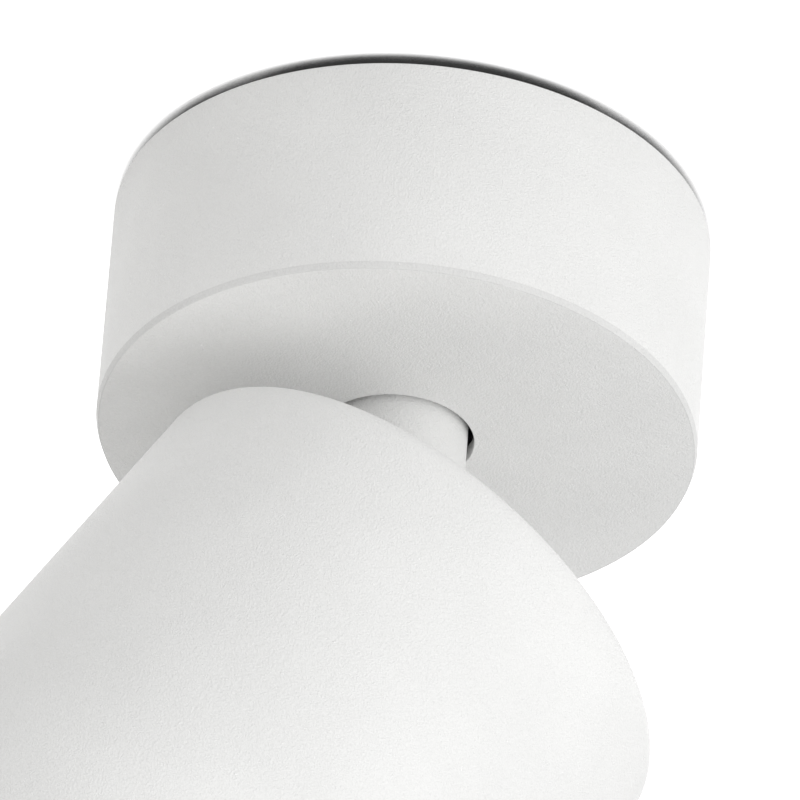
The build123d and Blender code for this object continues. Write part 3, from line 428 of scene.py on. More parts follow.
class Workbench:
    """Turns outlines into solids, and sets copies round a circle, with one Geometry Nodes tree."""

    def __init__(self, shop: FinishShop) -> None:
        """Builds the tree once.

        Args:
            shop: Where the pieces get their materials.
        """
        self.shop = shop
        self.tree = bpy.data.node_groups.new("turned and set in a ring", "GeometryNodeTree")
        self.keys: dict[str, str] = {}
        kinds = {"Outline": "Geometry", "Turned": "Bool", "Steps Around": "Int", "Copies": "Int",
                 "Circle": "Float", "Start Angle": "Float", "Outward": "Bool", "Finish": "Material"}
        for name, kind in kinds.items():
            socket = self.tree.interface.new_socket(name, in_out="INPUT", socket_type=f"NodeSocket{kind}")
            self.keys[name] = socket.identifier
        self.tree.interface.new_socket("Piece", in_out="OUTPUT", socket_type="NodeSocketGeometry")
        given = add_node(self.tree, "NodeGroupInput").outputs
        turned = self.turning(given)
        chosen = add_node(self.tree, "GeometryNodeSwitch", {"input_type": "GEOMETRY"},
                          {"Switch": given["Turned"], "False": given["Outline"], "True": turned})
        ringed = self.ringing(given, chosen.outputs[0])
        dressed = add_node(self.tree, "GeometryNodeSetMaterial", {},
                           {"Geometry": ringed, "Material": given["Finish"]})
        add_node(self.tree, "NodeGroupOutput", {}, {0: dressed})

    def turning(self, given: bpy.types.NodeOutputs) -> bpy.types.NodeSocket:
        """Lays a grid of faces round the axis, one row for each point of the outline.

        Args:
            given: The group input's sockets.

        Returns:
            The socket of the turned mesh, its seam and poles closed.
        """
        tree = self.tree
        rows = add_node(tree, "GeometryNodeAttributeDomainSize", {}, {"Geometry": given["Outline"]})
        around = add_node(tree, "ShaderNodeMath", {"operation": "ADD"}, {0: given["Steps Around"], 1: 1.0})
        grid = add_node(tree, "GeometryNodeMeshGrid", {}, {"Vertices X": rows, "Vertices Y": around})
        index = add_node(tree, "GeometryNodeInputIndex")
        row = add_node(tree, "ShaderNodeMath", {"operation": "DIVIDE"}, {0: index, 1: around})
        row = add_node(tree, "ShaderNodeMath", {"operation": "FLOOR"}, {0: row})
        turn = index
        for operation, by in (("MODULO", around), ("DIVIDE", given["Steps Around"]), ("MULTIPLY", 2 * pi)):
            turn = add_node(tree, "ShaderNodeMath", {"operation": operation}, {0: turn, 1: by})
        spot = add_node(tree, "GeometryNodeInputPosition")
        mark = add_node(tree, "GeometryNodeInputNamedAttribute", {"data_type": "FLOAT"}, {"Name": "hexagonal"})
        drawn, flat = (add_node(tree, "GeometryNodeSampleIndex", {"data_type": kind},
                                {"Geometry": given["Outline"], "Value": value, "Index": row})
                       for kind, value in (("FLOAT_VECTOR", spot), ("FLOAT", mark)))
        # A hexagon's radius, as a share of its corners' radius, and 1 where the row is a circle.
        share = turn
        for operation, by in (("MODULO", pi / 3), ("SUBTRACT", pi / 6), ("COSINE", 0.0), ("POWER", -1.0),
                              ("MULTIPLY", cos(pi / 6)), ("SUBTRACT", 1.0), ("MULTIPLY", flat), ("ADD", 1.0)):
            share = add_node(tree, "ShaderNodeMath", {"operation": operation}, {0: share, 1: by})
        scale = add_node(tree, "ShaderNodeCombineXYZ", {}, {0: share, 1: 1.0, 2: 1.0})
        reach = add_node(tree, "ShaderNodeVectorMath", {"operation": "MULTIPLY"}, {0: drawn, 1: scale})
        place = add_node(tree, "ShaderNodeVectorRotate", {"rotation_type": "Z_AXIS"},
                         {"Vector": reach, "Angle": turn})
        set_out = add_node(tree, "GeometryNodeSetPosition", {}, {"Geometry": grid, "Position": place})
        return add_node(tree, "GeometryNodeMergeByDistance", {},
                        {"Geometry": set_out, "Distance": MERGE}).outputs[0]

    def ringing(self, given: bpy.types.NodeOutputs, piece: bpy.types.NodeSocket) -> bpy.types.NodeSocket:
        """Sets copies of a piece round a circle and makes them real.

        Args:
            given: The group input's sockets.
            piece: The socket of the piece.

        Returns:
            The socket of all the copies.
        """
        tree = self.tree
        turn = add_node(tree, "GeometryNodeInputIndex")
        for operation, by in (("DIVIDE", given["Copies"]), ("MULTIPLY", 2 * pi), ("ADD", given["Start Angle"])):
            turn = add_node(tree, "ShaderNodeMath", {"operation": operation}, {0: turn, 1: by})
        reach = add_node(tree, "ShaderNodeCombineXYZ", {}, {0: given["Circle"]})
        spot = add_node(tree, "ShaderNodeVectorRotate", {"rotation_type": "Z_AXIS"},
                        {"Vector": reach, "Angle": turn})
        points = add_node(tree, "GeometryNodePoints", {}, {"Count": given["Copies"], "Position": spot})
        tip = add_node(tree, "ShaderNodeMath", {"operation": "MULTIPLY"}, {0: given["Outward"], 1: pi / 2})
        angles = add_node(tree, "ShaderNodeCombineXYZ", {}, {1: tip, 2: turn})
        facing = add_node(tree, "FunctionNodeEulerToRotation", {}, {0: angles})
        copies = add_node(tree, "GeometryNodeInstanceOnPoints", {},
                          {"Points": points, "Instance": piece, "Rotation": facing})
        return add_node(tree, "GeometryNodeRealizeInstances", {}, {0: copies}).outputs[0]

    def run(self, name: str, mesh: bpy.types.Mesh, finish: Finish, turned: bool, steps: int, ring: Ring,
            place: Matrix) -> bpy.types.Object:
        """Runs the tree on a drawn mesh and keeps the result as a plain piece.

        Args:
            name: The piece's name.
            mesh: The outline's points, or the shape that is copied.
            finish: What the piece wears.
            turned: Whether the mesh is an outline that is turned.
            steps: Faces round a turned piece.
            ring: How its copies are set.
            place: Where the piece's own axes lie.

        Returns:
            The finished object, at the origin and with its place in its mesh.
        """
        draft = bpy.data.objects.new(name, mesh)
        bpy.context.scene.collection.objects.link(draft)
        modifier = draft.modifiers.new("turned and set in a ring", "NODES")
        modifier.node_group = self.tree
        values = {"Turned": turned, "Steps Around": steps, "Copies": ring.copies, "Circle": ring.circle * MM,
                  "Start Angle": radians(ring.start), "Outward": ring.outward, "Finish": self.shop.get(finish)}
        for key, value in values.items():
            modifier[self.keys[key]] = value
        piece = self.plain(draft)
        piece.data.transform(place)
        self.tidy(piece)
        LOG.info("made %s, %d faces, in %s", name, len(piece.data.polygons), finish.name)
        return piece

    def plain(self, draft: bpy.types.Object) -> bpy.types.Object:
        """Swaps an object's mesh for what its modifiers make of it, and takes them off.

        Args:
            draft: The object with its modifiers.

        Returns:
            The same object with a plain mesh.
        """
        graph = bpy.context.evaluated_depsgraph_get()
        made = bpy.data.meshes.new_from_object(draft.evaluated_get(graph))
        draft.modifiers.clear()
        draft.data = made
        return draft

    def tidy(self, piece: bpy.types.Object) -> None:
        """Closes seams, turns every face outwards and keeps only real edges sharp.

        Args:
            piece: The piece whose mesh is put right.
        """
        work = bmesh.new()
        work.from_mesh(piece.data)
        bmesh.ops.remove_doubles(work, verts=work.verts, dist=MERGE)
        bmesh.ops.recalc_face_normals(work, faces=work.faces)
        for face in work.faces:
            face.smooth = True
        work.to_mesh(piece.data)
        work.free()
        piece.data.set_sharp_from_angle(angle=SHARP_FROM)

    def turn(self, name: str, rows: list[Row], finish: Finish, steps: int = 64, ring: Ring = Ring(),
             place: Matrix = Matrix()) -> bpy.types.Object:
        """Turns an outline about its own axis.

        Args:
            name: The piece's name.
            rows: The outline.
            finish: What the piece wears.
            steps: Faces round the piece.
            ring: How its copies are set.
            place: Where its own axes lie.

        Returns:
            The finished piece.
        """
        mesh = bpy.data.meshes.new(name)
        mesh.from_pydata([(row.across * MM, 0, row.along * MM) for row in rows], [], [])
        marks = mesh.attributes.new("hexagonal", "FLOAT", "POINT")
        marks.data.foreach_set("value", [row.hexagonal for row in rows])
        return self.run(name, mesh, finish, True, steps, ring, place)

    def block(self, name: str, low: tuple[float, float, float], high: tuple[float, float, float],
              finish: Finish, edge: float = 0.0, ring: Ring = Ring(),
              place: Matrix = Matrix()) -> bpy.types.Object:
        """Makes a block with softened edges, and copies of it.

        Args:
            name: The piece's name.
            low: Its lowest corner in millimetres.
            high: Its highest corner in millimetres.
            finish: What the piece wears.
            edge: The width of the softened edges.
            ring: How its copies are set.
            place: Where its own axes lie.

        Returns:
            The finished piece.
        """
        work = bmesh.new()
        bmesh.ops.create_cube(work, size=1.0)
        for vertex in work.verts:
            for axis in range(3):
                vertex.co[axis] = (high[axis] if vertex.co[axis] > 0 else low[axis]) * MM
        if edge:
            bmesh.ops.bevel(work, geom=work.edges, offset=edge * MM, segments=3, profile=0.5, affect="EDGES")
        mesh = bpy.data.meshes.new(name)
        work.to_mesh(mesh)
        work.free()
        return self.run(name, mesh, finish, False, 1, ring, place)

    def prism(self, name: str, outlines: list[list[Vector]], finish: Finish, ring: Ring = Ring(),
              place: Matrix = Matrix()) -> bpy.types.Object:
        """Joins outlines of the same number of points into a closed solid.

        Args:
            name: The piece's name.
            outlines: The outlines in order, in millimetres.
            finish: What the piece wears.
            ring: How its copies are set.
            place: Where its own axes lie.

        Returns:
            The finished piece.
        """
        count = len(outlines[0])
        points = [point * MM for outline in outlines for point in outline]
        faces: list[tuple[int, ...]] = [tuple(range(count))]
        faces.append(tuple(range(len(points) - count, len(points))))
        for level in range(len(outlines) - 1):
            for step in range(count):
                near, far = level * count + step, level * count + (step + 1) % count
                faces.append((near, far, far + count, near + count))
        mesh = bpy.data.meshes.new(name)
        mesh.from_pydata(points, [], faces)
        return self.run(name, mesh, finish, False, 1, ring, place)

    def combine(self, piece: bpy.types.Object, tool: bpy.types.Object, operation: str) -> None:
        """Joins a tool to a piece or cuts it out of it, and uses the tool up.

        Args:
            piece: The piece that is worked on.
            tool: The solid that is joined or cut out.
            operation: "UNION" or "DIFFERENCE".
        """
        modifier = piece.modifiers.new(operation.lower(), "BOOLEAN")
        modifier.operation = operation
        modifier.solver = "EXACT"
        modifier.use_self = operation == "UNION"
        modifier.object = tool
        self.plain(piece)
        bpy.data.objects.remove(tool)
        self.tidy(piece)


def stadium(run: float, width: float, along: float, steps: int = 24) -> list[Vector]:
    """Draws a slot's outline with round ends.

    Args:
        run: The distance between the ends' centres, towards -X.
        width: The slot's width.
        along: The outline's height.
        steps: Straight pieces in each end.

    Returns:
        The outline's points.
    """
    points = []
    for centre, start in ((0.0, -pi / 2), (-run, pi / 2)):
        for step in range(steps + 1):
            turn = start + pi * step / steps
            points.append(Vector((centre + width / 2 * cos(turn), width / 2 * sin(turn), along)))
    return points


# ---------------------------------------------------------------- sub-assemblies


@dataclass
class SocketScrew:
    """A socket head screw, its head standing on the level 0 and its shank below."""

    radius: float
    length: float
    head_radius: float
    head: float

    def rows(self) -> list[Row]:
        """Draws the screw's outline from its tip to the bottom of its socket."""
        edge, chamfer = self.head * 0.25, self.radius * 0.2
        solid = on_axis([
            Corner(0, -self.length), Corner(self.radius - chamfer, -self.length),
            Corner(self.radius, -self.length + chamfer), Corner(self.radius, 0), Corner(self.head_radius, 0),
            Corner(self.head_radius, self.head, edge), Corner(0, self.head)])[:-1]
        corner, floor = self.radius * 0.9, self.head * 0.4
        return solid + [Row(corner, self.head, 1.0), Row(corner, floor, 1.0), Row(0, floor)]


@dataclass
class Base:
    """The round base: a cast cup that hangs from the bracket on its bayonet lugs."""

    radius: float = 50.0
    bore: float = 47.8
    top: float = -2.0
    bottom: float = -43.0
    floor: float = -40.0
    bevel_height: float = 1.0
    bevel_width: float = 0.4
    edge_break: float = 0.12
    rim_radius: float = 0.4
    floor_radius: float = 0.8
    hole_radius: float = 12.95
    boss_circle: float = 21.0
    boss_radius: float = 4.0
    boss_top: float = -36.5
    boss_hole: float = 1.55
    plate_top: float = -33.5
    lug_inside: float = 45.43
    lug_low: float = -6.0
    lug_high: float = -4.0
    lug_angle: float = 16.0
    lock_level: float = -7.0
    lock_width: float = 9.0
    lock_height: float = 7.0
    lock_hole: float = 2.05
    drill_room: float = 1.0
    support: float = 0.2
    overlap: float = 0.3
    lug_start: float = 30.0
    boss_start: float = 90.0
    lock_edge: float = 0.6

    def build_cover(self, bench: Workbench) -> bpy.types.Object:
        """Builds the cup with its bevelled lower edge, its bosses, lugs and lock boss.

        Args:
            bench: The workbench.

        Returns:
            The cover's object.
        """
        middle = (self.bore + self.radius) / 2
        bevel_inside, bevel_top = self.radius - self.bevel_width, self.bottom + self.bevel_height
        cover = bench.turn("cover_cup", rounded([
            Corner(self.hole_radius, self.bottom, self.edge_break),
            Corner(bevel_inside - self.support, self.bottom),
            Corner(bevel_inside, self.bottom, self.edge_break), Corner(self.radius, bevel_top, self.edge_break),
            Corner(self.radius, bevel_top + self.support),
            Corner(self.radius, self.top, self.rim_radius), Corner(self.bore, self.top),
            Corner(self.bore, self.floor, self.floor_radius), Corner(self.hole_radius, self.floor)]),
            Kit.WHITE, steps=256)
        sunk = self.floor - self.overlap
        bosses = bench.turn("cover_bosses", on_axis([
            Corner(0, sunk), Corner(self.boss_radius, sunk), Corner(self.boss_radius, self.boss_top, 0.3),
            Corner(self.boss_hole, self.boss_top), Corner(self.boss_hole, self.floor), Corner(0, self.floor)]),
            Kit.WHITE, steps=48, ring=Ring(3, self.boss_circle, self.boss_start))
        bench.combine(cover, bosses, "UNION")
        half = radians(self.lug_angle / 2)
        turns = [half * (step / 6 - 1) for step in range(13)]
        outline = [(self.lug_inside, turn) for turn in turns] + [(middle, turn) for turn in reversed(turns)]
        lugs = bench.prism("cover_lugs", [
            [Vector((reach * cos(turn), reach * sin(turn), level)) for reach, turn in outline]
            for level in (self.lug_low, self.lug_high)], Kit.WHITE, ring=Ring(3, 0, self.lug_start))
        bench.combine(cover, lugs, "UNION")
        wide, high = self.lock_width / 2, self.lock_height / 2
        boss = bench.block("lock_boss", (-wide, self.lug_inside, self.lock_level - high),
                           (wide, middle, self.lock_level + high), Kit.WHITE, self.lock_edge)
        bench.combine(cover, boss, "UNION")
        hole = pin(self.lock_hole, self.lug_inside - self.drill_room, self.radius + self.drill_room)
        drill = bench.turn("lock_hole", hole, Kit.WHITE, 32, Ring(1, 0, 90, True),
                           Matrix.Translation((0, 0, self.lock_level * MM)))
        bench.combine(cover, drill, "DIFFERENCE")
        self.paint_bevel_shade(cover)
        return cover

    def paint_bevel_shade(self, cover: bpy.types.Object) -> None:
        """Marks the bevel, which the white coat paints darker as painted shade.

        Args:
            cover: The cover's object.
        """
        marks = cover.data.attributes.new("edge", "FLOAT", "POINT")
        slack = self.support / 2
        for vertex, mark in zip(cover.data.vertices, marks.data):
            out = hypot(vertex.co.x, vertex.co.y) / MM > self.radius - self.bevel_width - slack
            mark.value = float(out and vertex.co.z / MM < self.bottom + self.bevel_height + slack)

    def build(self, bench: Workbench) -> None:
        """Builds the base's own pieces and puts them in the nodes' places.

        Args:
            bench: The workbench.
        """
        cover = self.build_cover(bench)
        settle(cover, "base", "base_cover")
        screw = SocketScrew(radius=1.5, length=6.0, head_radius=2.8, head=2.0)
        screws = bench.turn("plate_screws", screw.rows(), Kit.SCREW, 48,
                            Ring(3, self.boss_circle, self.boss_start),
                            Matrix.Translation((0, 0, self.plate_top * MM)))
        settle(screws, "base", "swivel_plate_screws")


@dataclass
class Head:
    """The cylindrical head: shell, heat sink, reflector and bezel, in its own tilted axes."""

    pivot_mm: float = -83.5
    rest_tilt: float = 31.8
    radius: float = 49.5
    bore: float = 47.5
    back: float = 9.5
    back_inside: float = 7.0
    front: float = -100.5
    edge_radius: float = 4.0
    slot_run: float = 11.3
    slot_width: float = 25.2
    slot_edge: float = 0.4
    sink_back: float = -32.0
    sink_front: float = -38.0
    boss_circle: float = 43.8
    boss_radius: float = 4.0
    boss_hole: float = 1.55
    fins: int = 24
    fin_inside: float = 29.0
    fin_outside: float = 46.0
    fin_height: float = 26.0
    yoke_floor: float = -18.0
    yoke_under: float = -20.5
    yoke_reach: float = 12.5
    holder_front: float = -42.4
    glass_back: float = -81.5
    gasket_front: float = -85.5
    neck: float = 9.4
    wall: float = 1.2
    rim: float = 46.9
    rim_width: float = 4.0
    bulge: float = 4.0
    rim_thickness: float = 1.5
    front_radius: float = 0.6
    inner_radius: float = 2.0
    hole_depth: float = 6.5
    boss_overlap: float = 0.5
    sink_overlap: float = 0.4
    sink_gap: float = 0.3
    fin_half: float = 0.8
    fin_edge: float = 0.35
    fin_clearance: float = 0.6
    post_radius: float = 5.5
    post_hole: float = 2.05
    lead_hole: float = 2.4
    lead_offset: float = 25.5
    holder_circle: float = 17.5
    holder_start: float = -45.0
    bezel_gap: float = 0.1
    bezel_inset: float = 0.2
    bezel_front: float = 2.6
    bezel_back: float = 4.2
    bezel_round: float = 0.5

    def place(self, level: float = 0.0) -> Matrix:
        """Gives the head's own axes at a level above the pivot, in metres."""
        tilt = Matrix.Rotation(radians(self.rest_tilt), 4, "Y")
        return Matrix.Translation((0, 0, self.pivot_mm * MM)) @ tilt @ Matrix.Translation((0, 0, level * MM))

    def front_place(self, level: float) -> Matrix:
        """Gives axes at a level whose Z points to the head's front."""
        return self.place(level) @ Matrix.Rotation(pi, 4, "X")

    def build_shell(self, bench: Workbench) -> bpy.types.Object:
        """Builds the cup with its rounded back edge, three bosses and the stem's slot.

        Args:
            bench: The workbench.

        Returns:
            The shell's object.
        """
        shell = bench.turn("head_cup", on_axis([
            Corner(0, self.back), Corner(self.radius, self.back, self.edge_radius),
            Corner(self.radius, self.front, self.front_radius),
            Corner(self.bore, self.front, self.front_radius),
            Corner(self.bore, self.back_inside, self.inner_radius), Corner(0, self.back_inside)], 10),
            Kit.WHITE, steps=256, place=self.place())
        sunk, hole_end = self.back_inside + self.boss_overlap, self.sink_back + self.hole_depth
        bosses = bench.turn("head_bosses", on_axis([
            Corner(0, sunk), Corner(self.boss_radius, sunk), Corner(self.boss_radius, self.sink_back, 0.3),
            Corner(self.boss_hole, self.sink_back), Corner(self.boss_hole, hole_end), Corner(0, hole_end)]),
            Kit.WHITE, steps=40, ring=Ring(3, self.boss_circle), place=self.place())
        bench.combine(shell, bosses, "UNION")
        flare = [(self.back_inside - 1, 0.0), (self.back - self.slot_edge, 0.0),
                 (self.back, 2 * self.slot_edge), (self.back + 1, 2 * self.slot_edge + 2)]
        cutter = bench.prism("slot_cutter", [
            stadium(self.slot_run, self.slot_width + grow, level) for level, grow in flare],
            Kit.WHITE, place=self.place())
        bench.combine(shell, cutter, "DIFFERENCE")
        return shell

    def build_sink(self, bench: Workbench) -> bpy.types.Object:
        """Builds the heat sink: a thick disc, radial fins and two posts for the yoke.

        Args:
            bench: The workbench.

        Returns:
            The heat sink's object.
        """
        reach, sunk = self.bore - self.sink_gap, self.sink_back - self.sink_overlap
        sink = bench.turn("cooling_fins", pin(reach, self.sink_front, self.sink_back, 0.3), Kit.CAST, 128,
                          place=self.place())
        fins = bench.block("fins", (self.fin_inside, -self.fin_half, sunk),
                           (self.fin_outside, self.fin_half, self.sink_back + self.fin_height), Kit.CAST,
                           self.fin_edge, Ring(self.fins, 0, 180 / self.fins), self.place())
        room = self.boss_radius + self.fin_clearance
        clear = bench.turn("boss_clearance", pin(room, self.sink_back, self.back_inside), Kit.CAST, 40,
                           Ring(3, self.boss_circle), self.place())
        bench.combine(fins, clear, "DIFFERENCE")
        bench.combine(sink, fins, "UNION")
        hole_end = self.yoke_under - self.hole_depth
        posts = bench.turn("posts", on_axis([
            Corner(0, sunk), Corner(self.post_radius, sunk), Corner(self.post_radius, self.yoke_under, 0.3),
            Corner(self.post_hole, self.yoke_under), Corner(self.post_hole, hole_end), Corner(0, hole_end)]),
            Kit.CAST, steps=40, ring=Ring(2, self.yoke_reach), place=self.place())
        bench.combine(sink, posts, "UNION")
        for name, radius, ring in (("screw_holes", self.boss_hole, Ring(3, self.boss_circle)),
                                   ("lead_hole", self.lead_hole, Ring(1, self.lead_offset, 90))):
            drill = bench.turn(name, pin(radius, self.sink_front - 1, self.sink_back + 1), Kit.CAST, 32,
                               ring, self.place())
            bench.combine(sink, drill, "DIFFERENCE")
        return sink

    def bowl(self, steps: int = 40) -> list[Row]:
        """Draws the reflector's outline: a bowl through three points, and its flat rim.

        Args:
            steps: Straight pieces along the bowl.

        Returns:
            The outline's rows.
        """
        mouth = self.rim - self.rim_width
        start, end = Vector((self.neck + self.wall, self.holder_front)), Vector((mouth, self.glass_back))
        middle = Vector((self.neck + mouth, self.holder_front + self.glass_back)) / 2
        middle += Vector((self.bulge, self.bulge))
        first, second = middle - start, end - middle
        along_first, along_second = first.dot((start + middle) / 2), second.dot((middle + end) / 2)
        centre = Vector((along_first * second.y - along_second * first.y,
                         along_second * first.x - along_first * second.x)) / first.cross(second)
        radius = (start - centre).length
        begin = atan2(*(start - centre).yx)
        sweep = (atan2(*(end - centre).yx) - begin + pi) % (2 * pi) - pi
        turns = [begin + sweep * step / steps for step in range(steps + 1)]
        outer, inner = ([Row(centre.x + reach * cos(turn), centre.y + reach * sin(turn)) for turn in turns]
                        for reach in (radius, radius - self.wall))
        rim_back = self.glass_back + self.rim_thickness
        outer = [row for row in outer if row.along > rim_back]
        inner = [row for row in inner if row.along > self.glass_back]
        rim = [Row(outer[-1].across + 0.3, rim_back), Row(self.rim, rim_back), Row(self.rim, self.glass_back),
               Row(inner[-1].across + 0.1, self.glass_back)]
        rows = outer + rim + inner[::-1]
        return rows + rows[:1]

    def build(self, bench: Workbench) -> None:
        """Builds the head's own pieces and puts them in the nodes' places.

        Args:
            bench: The workbench.
        """
        settle(self.build_shell(bench), "head", "head_shell")
        settle(self.build_sink(bench), "head", "heat_sink")
        mirror = bench.turn("reflector_bowl", self.bowl(), Kit.MIRROR, 192, place=self.place())
        settle(mirror, "head", "reflector")
        outside, front = self.bore - self.bezel_gap, self.front + self.bezel_inset
        bezel = bench.turn("bezel_ring", rounded([
            Corner(outside, self.gasket_front), Corner(outside, front, self.bezel_round),
            Corner(outside - self.bezel_front, front, self.bezel_round),
            Corner(outside - self.bezel_back, self.gasket_front, 0.15)], 6), Kit.WHITE, 192, place=self.place())
        settle(bezel, "head", "front_bezel")
        self.build_screws(bench)

    def build_screws(self, bench: Workbench) -> None:
        """Sets the head's screws.

        Args:
            bench: The workbench.
        """
        sets = {
            "yoke_cap_screws": (
                "yoke_screws", SocketScrew(radius=2.0, length=8.5, head_radius=3.6, head=2.4),
                Ring(2, self.yoke_reach), self.place(self.yoke_floor)),
            "sink_cap_screws": (
                "sink_screws", SocketScrew(radius=1.5, length=12.0, head_radius=2.8, head=2.0),
                Ring(3, self.boss_circle), self.front_place(self.sink_front)),
            "holder_cap_screws": (
                "holder_screws", SocketScrew(radius=1.5, length=8.4, head_radius=2.6, head=1.8),
                Ring(2, self.holder_circle, self.holder_start), self.front_place(self.holder_front)),
        }
        for name, (node, screw, ring, place) in sets.items():
            settle(bench.turn(name, screw.rows(), Kit.SCREW, 48, ring, place), "head", node)


def settle(piece: bpy.types.Object, body: str, node: str) -> None:
    """Lets a piece ride on its body in the place of a CAD node.

    Args:
        piece: The piece.
        body: The body that it moves with.
        node: The node that it stands for.
    """
    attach(piece, body)
    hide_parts(node)
    LOG.info("%s rides on %s and stands for %s", piece.name, body, node)


# ---------------------------------------------------------------- camera and light


@dataclass
class PhotoCamera:
    """The camera that took the picture, in metres and degrees."""

    place: tuple[float, float, float] = (-0.051299, -2.263857, -1.566797)
    turn: float = -1.3008
    pitch: float = 34.0726
    roll: float = 4.529
    lens: float = 740.567

    def build(self) -> bpy.types.Object:
        """Places the camera below and before the spotlight, looking up.

        Returns:
            The camera's object.
        """
        data = bpy.data.cameras.new("photo_camera")
        data.lens = self.lens
        data.sensor_width = 36.0
        data.clip_start = 0.05
        camera = bpy.data.objects.new("photo_camera", data)
        bpy.context.scene.collection.objects.link(camera)
        aim = (Matrix.Rotation(radians(self.turn), 4, "Z") @ Matrix.Rotation(radians(90 + self.pitch), 4, "X")
               @ Matrix.Rotation(radians(self.roll), 4, "Z"))
        camera.matrix_world = Matrix.Translation(self.place) @ aim
        bpy.context.scene.camera = camera
        return camera


@dataclass(frozen=True)
class SoftBox:
    """One square lamp that faces the spotlight: its place and side in metres, its power in watts."""

    name: str
    place: tuple[float, float, float]
    size: float
    power: float
    colour: str = "#FFFFFF"


@dataclass
class Studio:
    """The ceiling behind the spotlight, the lamps and the white surround."""

    ceiling_size: float = 6.0
    mount_radius: float = 0.0445
    ambient: float = 0.70
    aim: tuple[float, float, float] = (0.0, 0.0, -0.06)
    lamps: tuple[SoftBox, ...] = (
        SoftBox("key_lamp", (0.75, -0.75, -0.95), 0.7, 6.6),
        SoftBox("side_lamp", (1.1, -0.5, -0.25), 0.6, 1.65),
        SoftBox("fill_lamp", (-0.8, -0.2, -1.0), 0.8, 1.4, "#FFFBF4"),
    )

    def seen(self, tree: bpy.types.NodeTree) -> bpy.types.NodeSocket:
        """Tells rays that look at the surround from those that light by it.

        Args:
            tree: The tree that asks.

        Returns:
            A socket that is 1 for camera, glossy and transmission rays.
        """
        path = add_node(tree, "ShaderNodeLightPath").outputs
        either = add_node(tree, "ShaderNodeMath", {"operation": "MAXIMUM"},
                          {0: path["Is Camera Ray"], 1: path["Is Glossy Ray"]})
        return add_node(tree, "ShaderNodeMath", {"operation": "MAXIMUM"},
                        {0: either, 1: path["Is Transmission Ray"]}).outputs[0]

    def ceiling_finish(self) -> bpy.types.Material:
        """Makes matt white ceiling paint, with painted shade deep in the shadow gap and clear from above.

        Returns:
            The new material.
        """
        material = bpy.data.materials.new("matt white ceiling paint")
        material.use_nodes = True
        tree = material.node_tree
        tree.nodes.clear()
        plain = add_node(tree, "ShaderNodeBsdfDiffuse", {}, {"Color": (PAINT, PAINT, PAINT, 1)})
        open_sky = add_node(tree, "ShaderNodeAmbientOcclusion", {"samples": 16}, {"Distance": GAP_REACH})
        # The range in which the gap over the base goes from the photo's dark ring to the white ceiling.
        painted_gap_shade = add_node(tree, "ShaderNodeMapRange", {},
                         {"Value": open_sky.outputs["AO"], "From Min": 0.25, "From Max": 0.63,
                          "To Min": 0.035, "To Max": 1.0})
        # This ramp darkens the ceiling's colour and glow near the base: painted shade in the gap.
        lit = add_node(tree, "ShaderNodeBsdfDiffuse", {}, {"Color": painted_gap_shade})
        own = add_node(tree, "ShaderNodeEmission", {}, {"Color": painted_gap_shade, "Strength": PAINT_GLOW})
        white = add_node(tree, "ShaderNodeAddShader", {}, {0: lit, 1: own})
        shown = add_node(tree, "ShaderNodeMixShader", {}, {0: self.seen(tree), 1: plain, 2: white})
        clear = add_node(tree, "ShaderNodeBsdfTransparent")
        side = add_node(tree, "ShaderNodeNewGeometry").outputs["Backfacing"]
        both = add_node(tree, "ShaderNodeMixShader", {}, {0: side, 1: shown, 2: clear})
        add_node(tree, "ShaderNodeOutputMaterial", {}, {"Surface": both})
        return material

    def ceiling(self) -> bpy.types.Object:
        """Builds the ceiling as faces that look down, left open where the bracket covers it.

        Returns:
            The ceiling's object.
        """
        half, steps = self.ceiling_size / 2, 96
        turns = [2 * pi * step / steps for step in range(steps)]
        inner = [(self.mount_radius * cos(turn), self.mount_radius * sin(turn), 0) for turn in turns]
        outer = [(half * cos(turn), half * sin(turn), 0) for turn in turns]
        after = [(step + 1) % steps for step in range(steps)]
        faces = [(step, step + steps, after[step] + steps, after[step]) for step in range(steps)]
        mesh = bpy.data.meshes.new("ceiling")
        mesh.from_pydata(inner + outer, [], [face[::-1] for face in faces])
        mesh.materials.append(self.ceiling_finish())
        plane = bpy.data.objects.new("ceiling", mesh)
        bpy.context.scene.collection.objects.link(plane)
        return plane

    def hang(self, box: SoftBox) -> bpy.types.Object:
        """Hangs one lamp so that it faces the spotlight.

        Args:
            box: The lamp's name, place, size and power.

        Returns:
            The lamp's object.
        """
        data = bpy.data.lights.new(box.name, "AREA")
        data.size = box.size
        data.energy = box.power
        data.color = linear(box.colour)[:3]
        lamp = bpy.data.objects.new(box.name, data)
        bpy.context.scene.collection.objects.link(lamp)
        look = Vector(self.aim) - Vector(box.place)
        lamp.matrix_world = Matrix.Translation(box.place) @ look.to_track_quat("-Z", "Y").to_matrix().to_4x4()
        return lamp

    def surround(self) -> None:
        """Sets an even light from all round, and white where the camera, gloss or glass sees it."""
        world = bpy.data.worlds.new("studio surround")
        world.use_nodes = True
        bpy.context.scene.world = world
        tree = world.node_tree
        tree.nodes.clear()
        even = add_node(tree, "ShaderNodeBackground", {}, {"Color": (1, 1, 1, 1), "Strength": self.ambient})
        white = add_node(tree, "ShaderNodeBackground", {}, {"Color": (1, 1, 1, 1), "Strength": 1.0})
        shown = add_node(tree, "ShaderNodeMixShader", {}, {0: self.seen(tree), 1: even, 2: white})
        add_node(tree, "ShaderNodeOutputWorld", {}, {"Surface": shown})

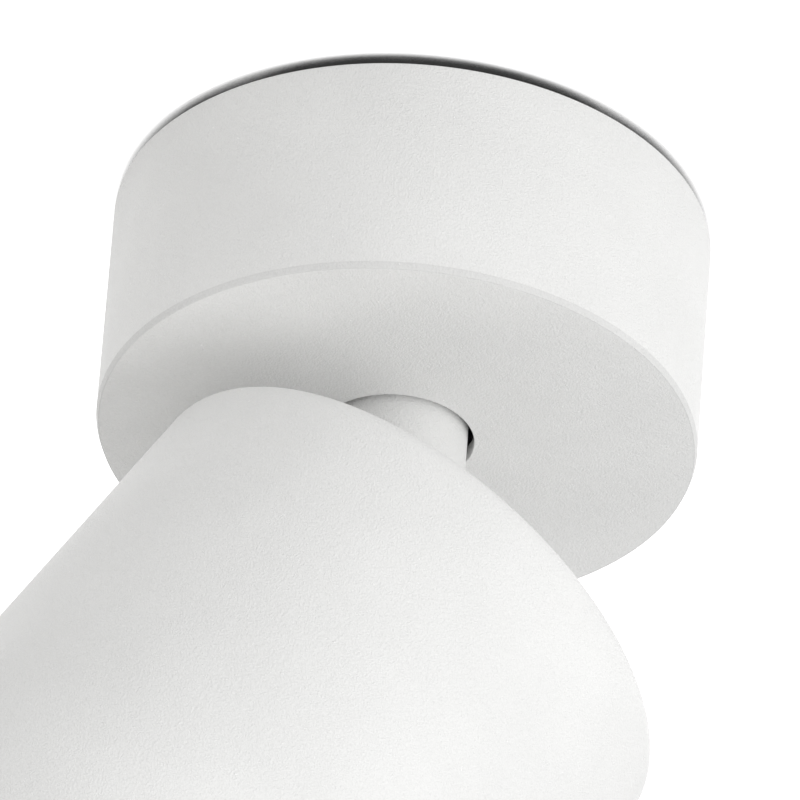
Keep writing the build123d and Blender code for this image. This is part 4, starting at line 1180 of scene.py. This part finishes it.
    def build(self) -> None:
        """Sets up the whole studio."""
        bpy.context.scene.view_settings.view_transform = "Standard"
        self.surround()
        self.ceiling()
        for box in self.lamps:
            self.hang(box)


# ---------------------------------------------------------------- the whole


def front_glass_finish() -> bpy.types.Material:
    """Makes clear tempered float glass, which lets the reflector show and catches the surround.

    Returns:
        The new material.
    """
    material = bpy.data.materials.new("clear tempered glass")
    material.use_nodes = True
    tree = material.node_tree
    shader = tree.nodes["Principled BSDF"]
    place = add_node(tree, "ShaderNodeTexCoord").outputs["Object"]
    wave = add_node(tree, "ShaderNodeTexNoise", {}, {"Vector": place, "Scale": 60.0, "Detail": 0.0})
    tint = add_node(tree, "ShaderNodeMix", {"data_type": "RGBA"},
                    {0: wave.outputs["Fac"], 6: linear("#F1F8F6"), 7: linear("#F6FAF9")})
    tree.links.new(tint.outputs[2], shader.inputs["Base Color"])
    roller = add_node(tree, "ShaderNodeBump", {},
                      {"Height": wave.outputs["Fac"], "Strength": 0.04, "Distance": 0.0004})
    tree.links.new(roller.outputs[0], shader.inputs["Normal"])
    shader.inputs["Roughness"].default_value = 0.02
    shader.inputs["IOR"].default_value = 1.5
    shader.inputs["Transmission Weight"].default_value = 1.0
    return material


def dress_nodes(frame: dict, shop: FinishShop) -> None:
    """Gives every piece of the frame the finish of the slot that the record gives it.

    Args:
        frame: The loaded frame.
        shop: Where the materials come from.
    """
    slots = {row["node"]: row["material_slot"] for row in frame["record"]["subparts"]}
    for name, piece in frame["nodes"].items():
        slot = slots[name]
        material = front_glass_finish() if slot == "clear_glass" else shop.get(BY_SLOT[slot])
        piece.data.materials.clear()
        piece.data.materials.append(material)
        LOG.info("dressed %s in %s", name, material.name)


def main() -> None:
    """Builds the camera, the studio and the spotlight."""
    logging.basicConfig(level=logging.INFO, format="%(name)s: %(message)s")
    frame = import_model()
    PhotoCamera().build()
    Studio().build()
    shop = FinishShop()
    dress_nodes(frame, shop)
    bench = Workbench(shop)
    Base().build(bench)
    Head().build(bench)


if __name__ == "__main__":
    main()
